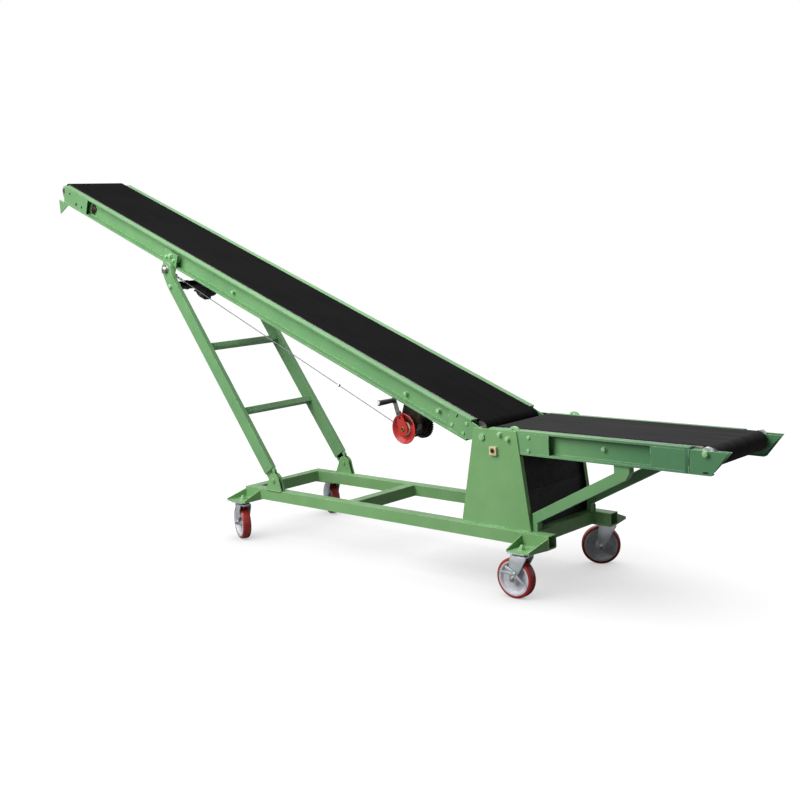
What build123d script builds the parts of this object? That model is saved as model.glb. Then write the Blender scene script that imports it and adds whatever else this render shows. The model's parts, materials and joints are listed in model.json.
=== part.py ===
"""Portable belt conveyor: a level feed belt and an inclined belt on a castered base.

Millimetres. +X runs from the raised head end to the feed end, +Y to the far side, +Z up.
The machine is laid out from the rear end of its base (x = 0), its centre plane (y = 0)
and the floor (z = 0). Each piece is moved to the middle of the whole machine on export.
"""

import os
from math import cos, pi, radians, sin

from build123d import *

os.makedirs("parts", exist_ok=True)

# Base frame
base_length = 2240
base_width = 600
rail_side = 63.5
rail_wall = 4
rail_top = 306
middle_cross_x = 827
front_cross_x = 2073

# Casters: 8 inch wheels on swivel forks
wheel_radius = 101.6
wheel_width = 50
tread_depth = 14
hub_length = 60
axle_radius = 8
caster_trail = 38
caster_front_x = 2132
caster_rear_x = 52
caster_y = 370
bracket_front_foot = (2075, 2236)
bracket_front_lip = (2075, 2212)
bracket_rear_foot = (0, 131)
bracket_rear_lip = (-34, 131)
bracket_lip_height = 8
bracket_reach = 420
bracket_plate = 6
caster_plate_length = 102
caster_plate_width = 100
caster_plate_thick = 6
race_radius = 31
race_height = 11
kingpin_radius = 8
fork_sheet = 5
fork_top_length = 74
fork_foot_radius = 19

# Conveyor channels, the same rolled section on both conveyors
channel_depth = 118
channel_wall = 5
flange_thick = 11
channel_bend = 8
flange_half_width = 262
flange_width = 38

# Belts, beds and pulleys
belt_half_width = 213
belt_thick = 5
belt_above_flange = 4.5
bed_thick = 3
bed_lip = 26
bed_gap = 34
pulley_radius = 42
pulley_half_length = 208
shaft_radius = 12.5
roller_radius = 14
roller_shaft_radius = 6

# Feed conveyor
feed_top = 800
kink_x = 1842
feed_channel_start = 1870
feed_channel_end = 2978
feed_discharge_x = 1900
feed_nose_x = 3058
nose_tip_x = 3166
nose_bottom_x = 3081
nose_back_x = 2981
nose_plate_drop = 9
nose_overlap = 90
infill_start_x = 2788
side_plate = 6
splice_start_x = 1992
splice_end_x = 2230

# Towers that carry the feed conveyor and the incline's hinge
tower_bottom_rear_x = 1677
tower_bottom_front_x = 2112
tower_top_rear_x = 1777
tower_top_front_x = 2043
tower_height = 490
tower_sheet = 6
tower_return = 20
tower_front_return_height = 366
tower_rear_return_height = 300
panel_x = 2062
panel_height = 186
panel_sheet = 5
block_x = 1903
block_height = 383
block_side = 42
block_thick = 14
block_bore_radius = 10
block_bore_depth = 10

# Braces from the front cross to the feed channels
brace_thick = 40
brace_y = 231
brace_foot_x = 2113
brace_foot_rise = 88
brace_toe_rise = 43
brace_head_start = 2585
brace_head_end = 2667
brace_head_drop = 39
brace_knee_x = 2647
brace_knee_drop = 66
brace_heel_drop = 31

# Incline
incline_angle = 21.2
incline_length = 3847
incline_gap = 88
hinge_x = 1830
hinge_height = 753
hinge_radius = 12
tail_plate_length = 236
tail_nose_radius = 29
tail_pulley_back = 52
head_pulley_out = 28
head_plate_length = 271
head_bearing_length = 150
head_gusset_depth = 86
head_gusset_length = 114
return_roller_shares = (0.18, 0.44, 0.7)
tie_shares = (0.146, 0.39, 0.637, 0.871)
tie_side = 25

# Gear motor slung under the incline
motor_place = 2590
motor_drop = 276
motor_radius = 58
motor_start = -10
motor_length = 95
motor_neck_radius = 26
motor_neck_drop = 247
motor_neck_start = -228
motor_saddle_length = 110
motor_saddle_thick = 8
motor_hanger_length = 60

# Winch under the near channel
winch_place = 478
winch_drop = 234
winch_outer = 252
winch_inner = 150
winch_sheet = 4
winch_foot_length = 124
winch_foot_thick = 6
cheek_radius = 58
winch_shaft_radius = 9
rod_radius = 5
rod_offset = 36
drum_radius = 22
drum_flange_radius = 40
drum_flange_thick = 3
gear_radius = 72
gear_root = 66
gear_teeth = 36
gear_width = 24
gear_gap = 4
gear_web = 6
ratchet_radius = 44
ratchet_root = 37
ratchet_teeth = 16
ratchet_thick = 6
ratchet_gap = 2
pawl_reach = 46
pawl_length = 34
cover_gap = 10
cover_radius = 80
cover_back_radius = 64
cover_depth = 20
cover_sheet = 3
cover_boss_radius = 24
cover_boss_depth = 22
arm_round = 33
arm_tip = 16
arm_length = 96
arm_thick = 5
bar_start = 74
bar_width = 26
bar_thick = 6
crank_radius = 158
crank_lean = 17
grip_radius = 12
grip_end_radius = 14.5
grip_length = 122

# Strut frame between the base and the incline
strut_lean = 36.4
strut_foot_x = 265
strut_foot_height = 62
strut_length = 1532
strut_depth = 82
strut_thick = 30
strut_offset = 21
strut_shoulder = 66
strut_head = 92
rung_side = 35
rung_shares = (0.312, 0.621)
foot_plate = 5
foot_base = 136
foot_shift = 5
foot_top_radius = 44
pin_radius = 10
lug_radius = 45

# Carriage that slides along the channels at the strut's top
carriage_sheet = 6
carriage_length = 130
carriage_top = 28
carriage_bottom = 190
carriage_place = 2615
guide_radius = 16
guide_drop = 71

# Lifting cable and the eye it is tied to
cable_radius = 2.5
cable_y = 238
cable_eye_place = 2580
cable_eye_drop = 172
cable_eye_length = 34
cable_eye_depth = 24
cable_eye_thick = 12

# Clearances
running = 0.06
seat = 0.3
moving = 5
guide_gap = 4

# Sizes that follow from the ones above
side_signs = {"near": -1, "far": 1}
half_base = base_width / 2
rail_inner = half_base - rail_side
rail_bottom = rail_top - rail_side
plate_top = rail_bottom - bracket_plate
caster_top = plate_top - caster_plate_thick
web_outer = flange_half_width - flange_width
web_inner = web_outer - channel_wall
bed_top = belt_above_flange - belt_thick
pulley_drop = pulley_radius - bed_top
return_bottom = bed_top - 2 * pulley_radius - belt_thick
tower_inner = flange_half_width
tail_plate_outer = tower_inner - moving
leg_inner = flange_half_width + carriage_sheet + moving
leg_outer = leg_inner + strut_thick
foot_pin_height = rail_top + strut_foot_height
strut_tube_end = strut_length - strut_head

# Frames of the moving assemblies
slope = Location((kink_x, 0, feed_top), (0, incline_angle, 0))
lean = Location((strut_foot_x, 0, foot_pin_height), (0, -strut_lean, 0))
slope_cos = cos(radians(incline_angle))
slope_sin = sin(radians(incline_angle))

# Overall reach, which sets the middle of the machine
head_pulley_place = incline_length + head_pulley_out
head_reach = (
    kink_x
    - head_pulley_place * slope_cos
    - pulley_drop * slope_sin
    - pulley_radius
    - belt_thick
)
middle_x = (head_reach + nose_tip_x) / 2
cover_start = winch_outer + cover_gap
arm_start = cover_start + cover_boss_depth
bar_inner = arm_start + arm_thick
grip_start = bar_inner + bar_thick
grip_end = grip_start + grip_length
middle_y = (bracket_reach - grip_end) / 2
to_middle = Location((-middle_x, -middle_y, 0))


def keep(piece, node):
    """Move a finished piece to the machine's middle, label it and write its file."""
    shape = piece.part.moved(to_middle)
    shape.label = node
    export_step(shape, f"parts/{node}.step")


def placed(frame, plane):
    """A sketch plane carried from the world into an assembly's own frame."""
    return Plane(frame * plane.location)


def side_face(sign, inner):
    """Upright plane on the inner face of a side piece."""
    return Plane.XZ.offset(-sign * inner)


def slope_place(distance, height):
    """Machine position of a point up the slope and off its flange plane."""
    return (
        kink_x - distance * slope_cos + height * slope_sin,
        feed_top + distance * slope_sin + height * slope_cos,
    )


# Base rails, square tube with open ends
for side, sign in side_signs.items():
    with BuildPart() as rail:
        with BuildSketch(Plane.YZ):
            with Locations((sign * (half_base - rail_side / 2), rail_top - rail_side / 2)):
                Rectangle(rail_side, rail_side)
                Rectangle(rail_side - 2 * rail_wall, rail_side - 2 * rail_wall,
                          mode=Mode.SUBTRACT)
        extrude(amount=base_length)
    keep(rail, f"rail_{side}")

# Cross tubes between the rails
with BuildPart() as crosses:
    for cross_x in (0, middle_cross_x, front_cross_x):
        with BuildSketch(Plane.XZ.offset(-rail_inner)):
            with Locations((cross_x + rail_side / 2, rail_top - rail_side / 2)):
                Rectangle(rail_side, rail_side)
                Rectangle(rail_side - 2 * rail_wall, rail_side - 2 * rail_wall,
                          mode=Mode.SUBTRACT)
        extrude(amount=2 * rail_inner)
keep(crosses, "base_crosses")

# Caster brackets: a tray under the rail and two gussets beside it
# place, caster x, side sign, yaw of the fork, tray's x at the rail, tray's x at its lip
casters = (
    ("front_near", caster_front_x, -1, 2, bracket_front_foot, bracket_front_lip),
    ("front_far", caster_front_x, 1, 35, bracket_front_foot, bracket_front_lip),
    ("rear_near", caster_rear_x, -1, -23, bracket_rear_foot, bracket_rear_lip),
    ("rear_far", caster_rear_x, 1, -25, bracket_rear_foot, bracket_rear_lip),
)
plate_inner = rail_inner
gusset_top = rail_top - 12
gusset_rise = gusset_top - rail_bottom
with BuildPart() as brackets:
    for place, caster_x, sign, yaw, foot, lip in casters:
        with BuildSketch(Plane.XY.offset(plate_top)):
            with BuildLine():
                Polyline(
                    (foot[0], sign * plate_inner),
                    (foot[0], sign * half_base),
                    (lip[0], sign * bracket_reach),
                    (lip[1], sign * bracket_reach),
                    (foot[1], sign * half_base),
                    (foot[1], sign * plate_inner),
                    close=True,
                )
            make_face()
            with Locations((caster_x, sign * caster_y)):
                Circle(kingpin_radius + 4, mode=Mode.SUBTRACT)
        extrude(amount=bracket_plate)
        # place of the gusset at the rail and at the lip, and its thickness along the rail
        for foot_x, lip_x, thick in (
            (foot[0], lip[0], bracket_plate),
            (foot[1], lip[1], -bracket_plate),
        ):
            with BuildSketch(Plane.XY.offset(rail_bottom)):
                with BuildLine():
                    Polyline(
                        (foot_x, sign * half_base),
                        (lip_x, sign * bracket_reach),
                        (lip_x + thick, sign * bracket_reach),
                        (foot_x + thick, sign * half_base),
                        close=True,
                    )
                make_face()
            extrude(amount=gusset_rise)
    for sign in side_signs.values():
        with BuildSketch(Plane.YZ.offset(bracket_rear_lip[0])):
            with BuildLine():
                Polyline(
                    (sign * half_base, gusset_top),
                    (sign * bracket_reach, rail_bottom + bracket_lip_height),
                    (sign * bracket_reach, gusset_top),
                    close=True,
                )
            make_face()
        extrude(amount=bracket_front_foot[1] - bracket_rear_lip[0], mode=Mode.SUBTRACT)
keep(brackets, "caster_brackets")

# Caster top plates with their bearing races
with BuildPart() as caster_plates:
    for place, caster_x, sign, yaw, foot, lip in casters:
        with BuildSketch(Plane.XY.offset(caster_top)):
            with Locations((caster_x, sign * caster_y)):
                Rectangle(caster_plate_length, caster_plate_width)
                Circle(kingpin_radius + running, mode=Mode.SUBTRACT)
        extrude(amount=caster_plate_thick)
        with BuildSketch(Plane.XY.offset(caster_top - race_height)):
            with Locations((caster_x, sign * caster_y)):
                Circle(race_radius)
                Circle(kingpin_radius + running, mode=Mode.SUBTRACT)
        extrude(amount=race_height)
keep(caster_plates, "caster_plates")

# Casters: fork, hub and tread of each, in the fork's own frame
crown_top = caster_top - race_height - seat
crown_bottom = crown_top - fork_sheet
fork_inner = hub_length / 2 + 1
for place, caster_x, sign, yaw, foot, lip in casters:
    swivel = Location((caster_x, sign * caster_y, 0), (0, 0, yaw))
    with BuildPart() as fork:
        with BuildSketch(placed(swivel, Plane.XY.offset(crown_bottom))):
            SlotCenterToCenter(fork_top_length - 30, 2 * (fork_inner + fork_sheet))
        extrude(amount=fork_sheet)
        with BuildSketch(placed(swivel, Plane.XY.offset(crown_bottom))):
            Circle(kingpin_radius)
        extrude(amount=plate_top - crown_bottom)
        for leg_sign in (-1, 1):
            leg_plane = placed(swivel, Plane.XZ.offset(-leg_sign * fork_inner))
            with BuildSketch(leg_plane):
                with BuildLine():
                    Polyline(
                        (fork_top_length / 2 - 15, crown_bottom),
                        (fork_top_length / 2 - 15, crown_bottom - 26),
                        (-caster_trail + fork_foot_radius, wheel_radius),
                        (-caster_trail - fork_foot_radius, wheel_radius),
                        (-fork_top_length / 2 - 6, crown_bottom - 26),
                        (-fork_top_length / 2 + 8, crown_bottom),
                        close=True,
                    )
                make_face()
                with Locations((-caster_trail, wheel_radius)):
                    Circle(fork_foot_radius)
                    Circle(axle_radius, mode=Mode.SUBTRACT)
            extrude(amount=-leg_sign * fork_sheet)
        with BuildSketch(placed(swivel, Plane.XZ.offset(-fork_inner - fork_sheet - 5))):
            with Locations((-caster_trail, wheel_radius)):
                Circle(axle_radius)
        extrude(amount=2 * (fork_inner + fork_sheet + 5))
    keep(fork, f"fork_{place}")

    wheel_frame = swivel * Location((-caster_trail, 0, wheel_radius))
    rim_radius = wheel_radius - tread_depth
    with BuildPart() as hub:
        with BuildSketch(placed(wheel_frame, Plane.YZ)):
            with BuildLine():
                Polyline(
                    (-hub_length / 2, axle_radius + running),
                    (-hub_length / 2, 24),
                    (-9, 27),
                    (-9, rim_radius - 12),
                    (-wheel_width / 2 + 2, rim_radius - 9),
                    (-wheel_width / 2 + 2, rim_radius),
                    (wheel_width / 2 - 2, rim_radius),
                    (wheel_width / 2 - 2, rim_radius - 9),
                    (9, rim_radius - 12),
                    (9, 27),
                    (hub_length / 2, 24),
                    (hub_length / 2, axle_radius + running),
                    close=True,
                )
            make_face()
        revolve(axis=Axis(wheel_frame.position, (placed(wheel_frame, Plane.XZ)).z_dir))
    keep(hub, f"hub_{place}")

    with BuildPart() as tread:
        with BuildSketch(placed(wheel_frame, Plane.YZ)):
            with BuildLine():
                Polyline(
                    (-wheel_width / 2, rim_radius),
                    (-wheel_width / 2, wheel_radius - 5),
                    (-wheel_width / 2 + 5, wheel_radius),
                    (wheel_width / 2 - 5, wheel_radius),
                    (wheel_width / 2, wheel_radius - 5),
                    (wheel_width / 2, rim_radius),
                    close=True,
                )
            make_face()
        revolve(axis=Axis(wheel_frame.position, (placed(wheel_frame, Plane.XZ)).z_dir))
    keep(tread, f"tread_{place}")

# Tower plates: folded sheet, tapered, with inward returns front and rear
front_lean = (tower_top_front_x - tower_bottom_front_x) / tower_height
rear_lean = (tower_top_rear_x - tower_bottom_rear_x) / tower_height
for side, sign in side_signs.items():
    with BuildPart() as tower:
        with BuildSketch(side_face(sign, tower_inner)):
            with BuildLine():
                Polyline(
                    (tower_bottom_rear_x, rail_top),
                    (tower_bottom_front_x, rail_top),
                    (tower_top_front_x, rail_top + tower_height),
                    (tower_top_rear_x, rail_top + tower_height),
                    close=True,
                )
            make_face()
            with Locations((hinge_x, hinge_height)):
                Circle(hinge_radius + running, mode=Mode.SUBTRACT)
        extrude(amount=-sign * tower_sheet)
        # bottom x, lean along x over the tower's height, height of the return
        for edge_x, edge_lean, edge_height in (
            (tower_bottom_front_x - tower_sheet, front_lean, tower_front_return_height),
            (tower_bottom_rear_x, rear_lean, tower_rear_return_height),
        ):
            with BuildSketch(side_face(sign, tower_inner - tower_return)):
                with BuildLine():
                    Polyline(
                        (edge_x, rail_top),
                        (edge_x + tower_sheet, rail_top),
                        (edge_x + tower_sheet + edge_lean * edge_height, rail_top + edge_height),
                        (edge_x + edge_lean * edge_height, rail_top + edge_height),
                        close=True,
                    )
                make_face()
            extrude(amount=-sign * tower_return)
    keep(tower, f"tower_{side}")

# Panel across the front of the towers
with BuildPart() as panel:
    with BuildSketch(Plane.XZ.offset(-tower_inner)):
        with Locations((panel_x + panel_sheet / 2, rail_top + panel_height / 2)):
            Rectangle(panel_sheet, panel_height)
    extrude(amount=2 * tower_inner)
keep(panel, "tower_panel")

# Bearing blocks on the towers' outer faces
block_z = rail_top + block_height
with BuildPart() as blocks:
    for sign in side_signs.values():
        with BuildSketch(side_face(sign, tower_inner + tower_sheet)):
            with Locations((block_x, block_z)):
                Rectangle(block_side, block_side)
        extrude(amount=-sign * block_thick)
        block_face = tower_inner + tower_sheet + block_thick
        with BuildSketch(side_face(sign, block_face - block_bore_depth)):
            with Locations((block_x, block_z)):
                Circle(block_bore_radius)
        extrude(amount=-sign * block_bore_depth, mode=Mode.SUBTRACT)
keep(blocks, "tower_bearings")


def channel_section(sign):
    """The channel section, its flange plane at height 0, open outwards, with round bends."""
    tip = sign * flange_half_width
    back = sign * web_inner
    face = sign * web_outer
    with BuildSketch() as section:
        with BuildLine():
            Polyline(
                (back, 0),
                (tip, 0),
                (tip, -flange_thick),
                (face, -flange_thick),
                (face, flange_thick - channel_depth),
                (tip, flange_thick - channel_depth),
                (tip, -channel_depth),
                (back, -channel_depth),
                close=True,
            )
        make_face()
        backs = [corner for corner in section.vertices() if abs(corner.X - back) < seat]
        fillet(backs, channel_bend)
    return section.sketch


# Feed channels
feed_frame = Location((0, 0, feed_top))
for side, sign in side_signs.items():
    with BuildPart() as channel:
        with BuildSketch(placed(feed_frame, Plane.YZ.offset(feed_channel_start))):
            add(channel_section(sign))
        extrude(amount=feed_channel_end - feed_channel_start)
        with BuildSketch(placed(feed_frame, side_face(sign, web_inner))):
            with Locations((feed_discharge_x, -pulley_drop)):
                Circle(shaft_radius)
        extrude(amount=-sign * channel_wall, mode=Mode.SUBTRACT)
    keep(channel, f"feed_channel_{side}")

# Side plates of the feed: splices, infills and raked nose plates
infill_outer = flange_half_width
infill_inner = infill_outer - side_plate
infill_height = channel_depth - 2 * flange_thick
with BuildPart() as feed_plates:
    for sign in side_signs.values():
        for start, end in ((splice_start_x, splice_end_x), (infill_start_x, feed_channel_end)):
            with BuildSketch(placed(feed_frame, side_face(sign, infill_inner))):
                with Locations(((start + end) / 2, -channel_depth / 2)):
                    Rectangle(end - start, infill_height)
            extrude(amount=-sign * side_plate)
        with BuildSketch(placed(feed_frame, side_face(sign, web_outer))):
            with BuildLine():
                Polyline(
                    (feed_channel_end - nose_overlap, flange_thick - channel_depth),
                    (nose_bottom_x, flange_thick - channel_depth),
                    (nose_tip_x, -flange_thick),
                    (feed_channel_end - nose_overlap, -flange_thick),
                    close=True,
                )
            make_face()
            with Locations((feed_nose_x, -pulley_drop)):
                Circle(shaft_radius, mode=Mode.SUBTRACT)
        extrude(amount=-sign * side_plate)
        with BuildSketch(placed(feed_frame, side_face(sign, infill_inner))):
            with BuildLine():
                Polyline(
                    (nose_back_x, -channel_depth),
                    (nose_bottom_x, -channel_depth),
                    (nose_tip_x, -nose_plate_drop),
                    (nose_back_x, -nose_plate_drop),
                    close=True,
                )
            make_face()
        extrude(amount=-sign * side_plate)
        for edge in (-nose_plate_drop, side_plate - channel_depth):
            with BuildSketch(placed(feed_frame, Plane.XY.offset(edge - side_plate))):
                with Locations(((nose_back_x + nose_bottom_x) / 2,
                                sign * (web_outer + side_plate + infill_inner) / 2)):
                    Rectangle(nose_bottom_x - nose_back_x, infill_inner - web_outer - side_plate)
            extrude(amount=side_plate)
keep(feed_plates, "feed_side_plates")


# Slider bed of the feed
feed_bed_start = feed_discharge_x + bed_gap
feed_bed_end = feed_nose_x - bed_gap
with BuildPart() as feed_bed:
    with BuildSketch(placed(feed_frame, Plane.YZ.offset(feed_bed_start))):
        with Locations((0, bed_top - bed_thick / 2)):
            Rectangle(2 * web_inner, bed_thick)
        for sign in side_signs.values():
            with Locations((sign * (web_inner - bed_thick / 2), bed_top - bed_lip / 2)):
                Rectangle(bed_thick, bed_lip)
    extrude(amount=feed_bed_end - feed_bed_start)
keep(feed_bed, "feed_bed")

# Feed belt, one fixed loop
with BuildPart() as feed_belt:
    with BuildSketch(placed(feed_frame, Plane.XZ.offset(-belt_half_width))):
        with Locations(((feed_discharge_x + feed_nose_x) / 2, -pulley_drop)):
            span = feed_nose_x - feed_discharge_x
            SlotCenterToCenter(span, 2 * (pulley_radius + belt_thick))
            SlotCenterToCenter(span, 2 * pulley_radius, mode=Mode.SUBTRACT)
    extrude(amount=2 * belt_half_width)
keep(feed_belt, "feed_belt")

# Feed pulleys
shaft_end = web_outer + side_plate + 8
with BuildPart() as feed_rollers:
    for pulley_x in (feed_discharge_x, feed_nose_x):
        with BuildSketch(placed(feed_frame, Plane.XZ.offset(-pulley_half_length))):
            with Locations((pulley_x, -pulley_drop)):
                Circle(pulley_radius)
        extrude(amount=2 * pulley_half_length)
        with BuildSketch(placed(feed_frame, Plane.XZ.offset(-shaft_end))):
            with Locations((pulley_x, -pulley_drop)):
                Circle(shaft_radius)
        extrude(amount=2 * shaft_end)
keep(feed_rollers, "feed_rollers")

# Braces from the front cross up to the feed channels
brace_top = feed_top - channel_depth
front_cross_end = front_cross_x + rail_side
with BuildPart() as braces:
    for sign in side_signs.values():
        with BuildSketch(side_face(sign, brace_y - brace_thick / 2)):
            with BuildLine():
                Polyline(
                    (brace_foot_x, rail_top),
                    (front_cross_end, rail_top),
                    (front_cross_end, rail_top + brace_toe_rise),
                    (brace_knee_x, brace_top - brace_knee_drop),
                    (brace_head_end, brace_top - brace_heel_drop),
                    (brace_head_end, brace_top),
                    (brace_head_start, brace_top),
                    (brace_head_start, brace_top - brace_head_drop),
                    (brace_foot_x, rail_top + brace_foot_rise),
                    close=True,
                )
            make_face()
        extrude(amount=-sign * brace_thick)
keep(braces, "feed_braces")

# Strut feet: a pair of plates on each rail with the pivot pin between them
foot_outer = leg_outer
foot_inner = leg_inner
with BuildPart() as feet:
    for sign in side_signs.values():
        for inner in (foot_inner, foot_outer - foot_plate):
            with BuildSketch(side_face(sign, inner)):
                with BuildLine():
                    Polyline(
                        (strut_foot_x - foot_shift - foot_base / 2, rail_top),
                        (strut_foot_x - foot_shift + foot_base / 2, rail_top),
                        (strut_foot_x + foot_top_radius, foot_pin_height),
                        (strut_foot_x - foot_top_radius, foot_pin_height),
                        close=True,
                    )
                make_face()
                with Locations((strut_foot_x, foot_pin_height)):
                    Circle(foot_top_radius)
            extrude(amount=-sign * foot_plate)
        with BuildSketch(side_face(sign, foot_inner - 6)):
            with Locations((strut_foot_x, foot_pin_height)):
                Circle(pin_radius)
        extrude(amount=-sign * (strut_thick + 12))
keep(feet, "strut_feet")

# Strut legs: tube, foot tongue and top lug
tongue_inner = foot_inner + foot_plate + 1
tongue_thick = strut_thick - 2 * foot_plate - 2
for side, sign in side_signs.items():
    with BuildPart() as leg:
        with BuildSketch(placed(lean, side_face(sign, leg_inner))):
            with BuildLine():
                Polyline(
                    (-strut_depth / 2, strut_shoulder),
                    (strut_depth / 2, strut_shoulder),
                    (strut_depth / 2, strut_tube_end),
                    (strut_offset + lug_radius, strut_length),
                    (strut_offset - lug_radius, strut_length),
                    (-strut_depth / 2, strut_tube_end),
                    close=True,
                )
            make_face()
            with Locations((strut_offset, strut_length)):
                Circle(lug_radius)
        extrude(amount=-sign * strut_thick)
        with BuildSketch(placed(lean, side_face(sign, tongue_inner))):
            with Locations((0, strut_shoulder / 2 + 1)):
                Rectangle(48, strut_shoulder + 2)
            Circle(24)
            Circle(pin_radius + running, mode=Mode.SUBTRACT)
        extrude(amount=-sign * tongue_thick)
    keep(leg, f"strut_leg_{side}")

# Rungs between the strut legs
with BuildPart() as rungs:
    for rung_share in rung_shares:
        with BuildSketch(placed(lean, Plane.XZ.offset(-leg_inner))):
            with Locations((0, rung_share * strut_length)):
                Rectangle(rung_side, rung_side)
        extrude(amount=2 * leg_inner)
keep(rungs, "strut_rungs")

# Strut top pins, short of the carriage plates
pin_inner = leg_inner - moving + seat
with BuildPart() as top_pins:
    for sign in side_signs.values():
        with BuildSketch(placed(lean, side_face(sign, leg_outer))):
            with Locations((strut_offset, strut_length)):
                Circle(17)
        extrude(amount=-sign * 14)
        with BuildSketch(placed(lean, side_face(sign, pin_inner))):
            with Locations((strut_offset, strut_length)):
                Circle(22)
        extrude(amount=-sign * (leg_inner - pin_inner))
keep(top_pins, "strut_pins")

# Incline channels
for side, sign in side_signs.items():
    with BuildPart() as channel:
        with BuildSketch(placed(slope, Plane.YZ.offset(-incline_length))):
            add(channel_section(sign))
        extrude(amount=incline_length - incline_gap)
    keep(channel, f"incline_channel_{side}")

# Hinge position in the incline's frame
hinge_run = (hinge_x - kink_x) * slope_cos - (hinge_height - feed_top) * slope_sin
hinge_rise = (hinge_x - kink_x) * slope_sin + (hinge_height - feed_top) * slope_cos

# Tail plates that reach from the channels to the hinge
tail_inner = tail_plate_outer - side_plate
with BuildPart() as tail_plates:
    for sign in side_signs.values():
        with BuildSketch(placed(slope, side_face(sign, tail_inner))):
            with BuildLine():
                Polyline(
                    (-tail_plate_length, -flange_thick),
                    (-incline_gap, -flange_thick),
                    (hinge_run, hinge_rise + tail_nose_radius),
                    (hinge_run, hinge_rise - tail_nose_radius),
                    (-incline_gap, flange_thick - channel_depth),
                    (-tail_plate_length, flange_thick - channel_depth),
                    close=True,
                )
            make_face()
            with Locations((hinge_run, hinge_rise)):
                Circle(tail_nose_radius)
            with Locations((-tail_pulley_back, -pulley_drop)):
                Circle(shaft_radius, mode=Mode.SUBTRACT)
            with Locations((hinge_run, hinge_rise)):
                Circle(hinge_radius, mode=Mode.SUBTRACT)
        extrude(amount=-sign * side_plate)
        with BuildSketch(placed(slope, side_face(sign, web_outer))):
            with Locations(((-tail_plate_length - incline_gap) / 2, -channel_depth / 2)):
                Rectangle(tail_plate_length - incline_gap - 30, 40)
        extrude(amount=-sign * (tail_inner - web_outer))
keep(tail_plates, "tail_plates")

# Hinge studs through the towers, with spacer and head
with BuildPart() as studs:
    for sign in side_signs.values():
        with BuildSketch(placed(slope, side_face(sign, tail_inner - 8))):
            with Locations((hinge_run, hinge_rise)):
                Circle(hinge_radius)
        extrude(amount=-sign * (tower_inner + tower_sheet + 18 - tail_inner))
        with BuildSketch(placed(slope, side_face(sign, tail_plate_outer))):
            with Locations((hinge_run, hinge_rise)):
                Circle(hinge_radius + 8)
        extrude(amount=-sign * (moving - seat))
        with BuildSketch(placed(slope, side_face(sign, tower_inner + tower_sheet + seat))):
            with Locations((hinge_run, hinge_rise)):
                RegularPolygon(hinge_radius + 7, 6)
        extrude(amount=-sign * 8)
keep(studs, "hinge_studs")

# Head end plates: outer end plates, bearing plates for the head shaft and gussets below
head_start = -incline_length
with BuildPart() as head_plates:
    for sign in side_signs.values():
        with BuildSketch(placed(slope, side_face(sign, infill_inner))):
            with Locations((head_start + head_plate_length / 2, -channel_depth / 2)):
                Rectangle(head_plate_length, infill_height)
        extrude(amount=-sign * side_plate)
        with BuildSketch(placed(slope, side_face(sign, web_outer))):
            with Locations((head_start + head_bearing_length / 2, -channel_depth / 2)):
                Rectangle(head_bearing_length, infill_height)
            with BuildLine():
                Polyline(
                    (head_start, -flange_thick),
                    (head_start, flange_thick - channel_depth),
                    (-head_pulley_place, flange_thick - channel_depth),
                    (-head_pulley_place, -flange_thick),
                    close=True,
                )
            make_face()
            with Locations((-head_pulley_place, -channel_depth / 2)):
                Circle(infill_height / 2)
            with Locations((-head_pulley_place, -pulley_drop)):
                Circle(shaft_radius, mode=Mode.SUBTRACT)
        extrude(amount=-sign * side_plate)
        with BuildSketch(placed(slope, side_face(sign, infill_inner))):
            with BuildLine():
                Polyline(
                    (head_start + 55, -channel_depth),
                    (head_start - 59, -channel_depth),
                    (head_start - 22, -channel_depth - head_gusset_depth),
                    close=True,
                )
            make_face()
        extrude(amount=-sign * side_plate)
keep(head_plates, "head_plates")

# Slider bed of the incline
bed_start = bed_gap - head_pulley_place
bed_end = -tail_pulley_back - bed_gap
with BuildPart() as incline_bed:
    with BuildSketch(placed(slope, Plane.YZ.offset(bed_start))):
        with Locations((0, bed_top - bed_thick / 2)):
            Rectangle(2 * web_inner, bed_thick)
        for sign in side_signs.values():
            with Locations((sign * (web_inner - bed_thick / 2), bed_top - bed_lip / 2)):
                Rectangle(bed_thick, bed_lip)
    extrude(amount=bed_end - bed_start)
keep(incline_bed, "incline_bed")

# Incline belt, one fixed loop
with BuildPart() as incline_belt:
    with BuildSketch(placed(slope, Plane.XZ.offset(-belt_half_width))):
        with Locations((-(head_pulley_place + tail_pulley_back) / 2, -pulley_drop)):
            span = head_pulley_place - tail_pulley_back
            SlotCenterToCenter(span, 2 * (pulley_radius + belt_thick))
            SlotCenterToCenter(span, 2 * pulley_radius, mode=Mode.SUBTRACT)
    extrude(amount=2 * belt_half_width)
keep(incline_belt, "incline_belt")

# Head and tail pulleys and the return rollers
# distance up the slope, reach of the shaft from the centre plane
pulleys = ((head_pulley_place, shaft_end), (tail_pulley_back, tail_plate_outer))
with BuildPart() as incline_rollers:
    for pulley_place, reach in pulleys:
        with BuildSketch(placed(slope, Plane.XZ.offset(-pulley_half_length))):
            with Locations((-pulley_place, -pulley_drop)):
                Circle(pulley_radius)
        extrude(amount=2 * pulley_half_length)
        with BuildSketch(placed(slope, Plane.XZ.offset(-reach))):
            with Locations((-pulley_place, -pulley_drop)):
                Circle(shaft_radius)
        extrude(amount=2 * reach)
    for roller_share in return_roller_shares:
        roller_place = roller_share * incline_length
        with BuildSketch(placed(slope, Plane.XZ.offset(-pulley_half_length))):
            with Locations((-roller_place, return_bottom - roller_radius)):
                Circle(roller_radius)
        extrude(amount=2 * pulley_half_length)
        with BuildSketch(placed(slope, Plane.XZ.offset(-web_inner))):
            with Locations((-roller_place, return_bottom - roller_radius)):
                Circle(roller_shaft_radius)
        extrude(amount=2 * web_inner)
keep(incline_rollers, "incline_rollers")

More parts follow.
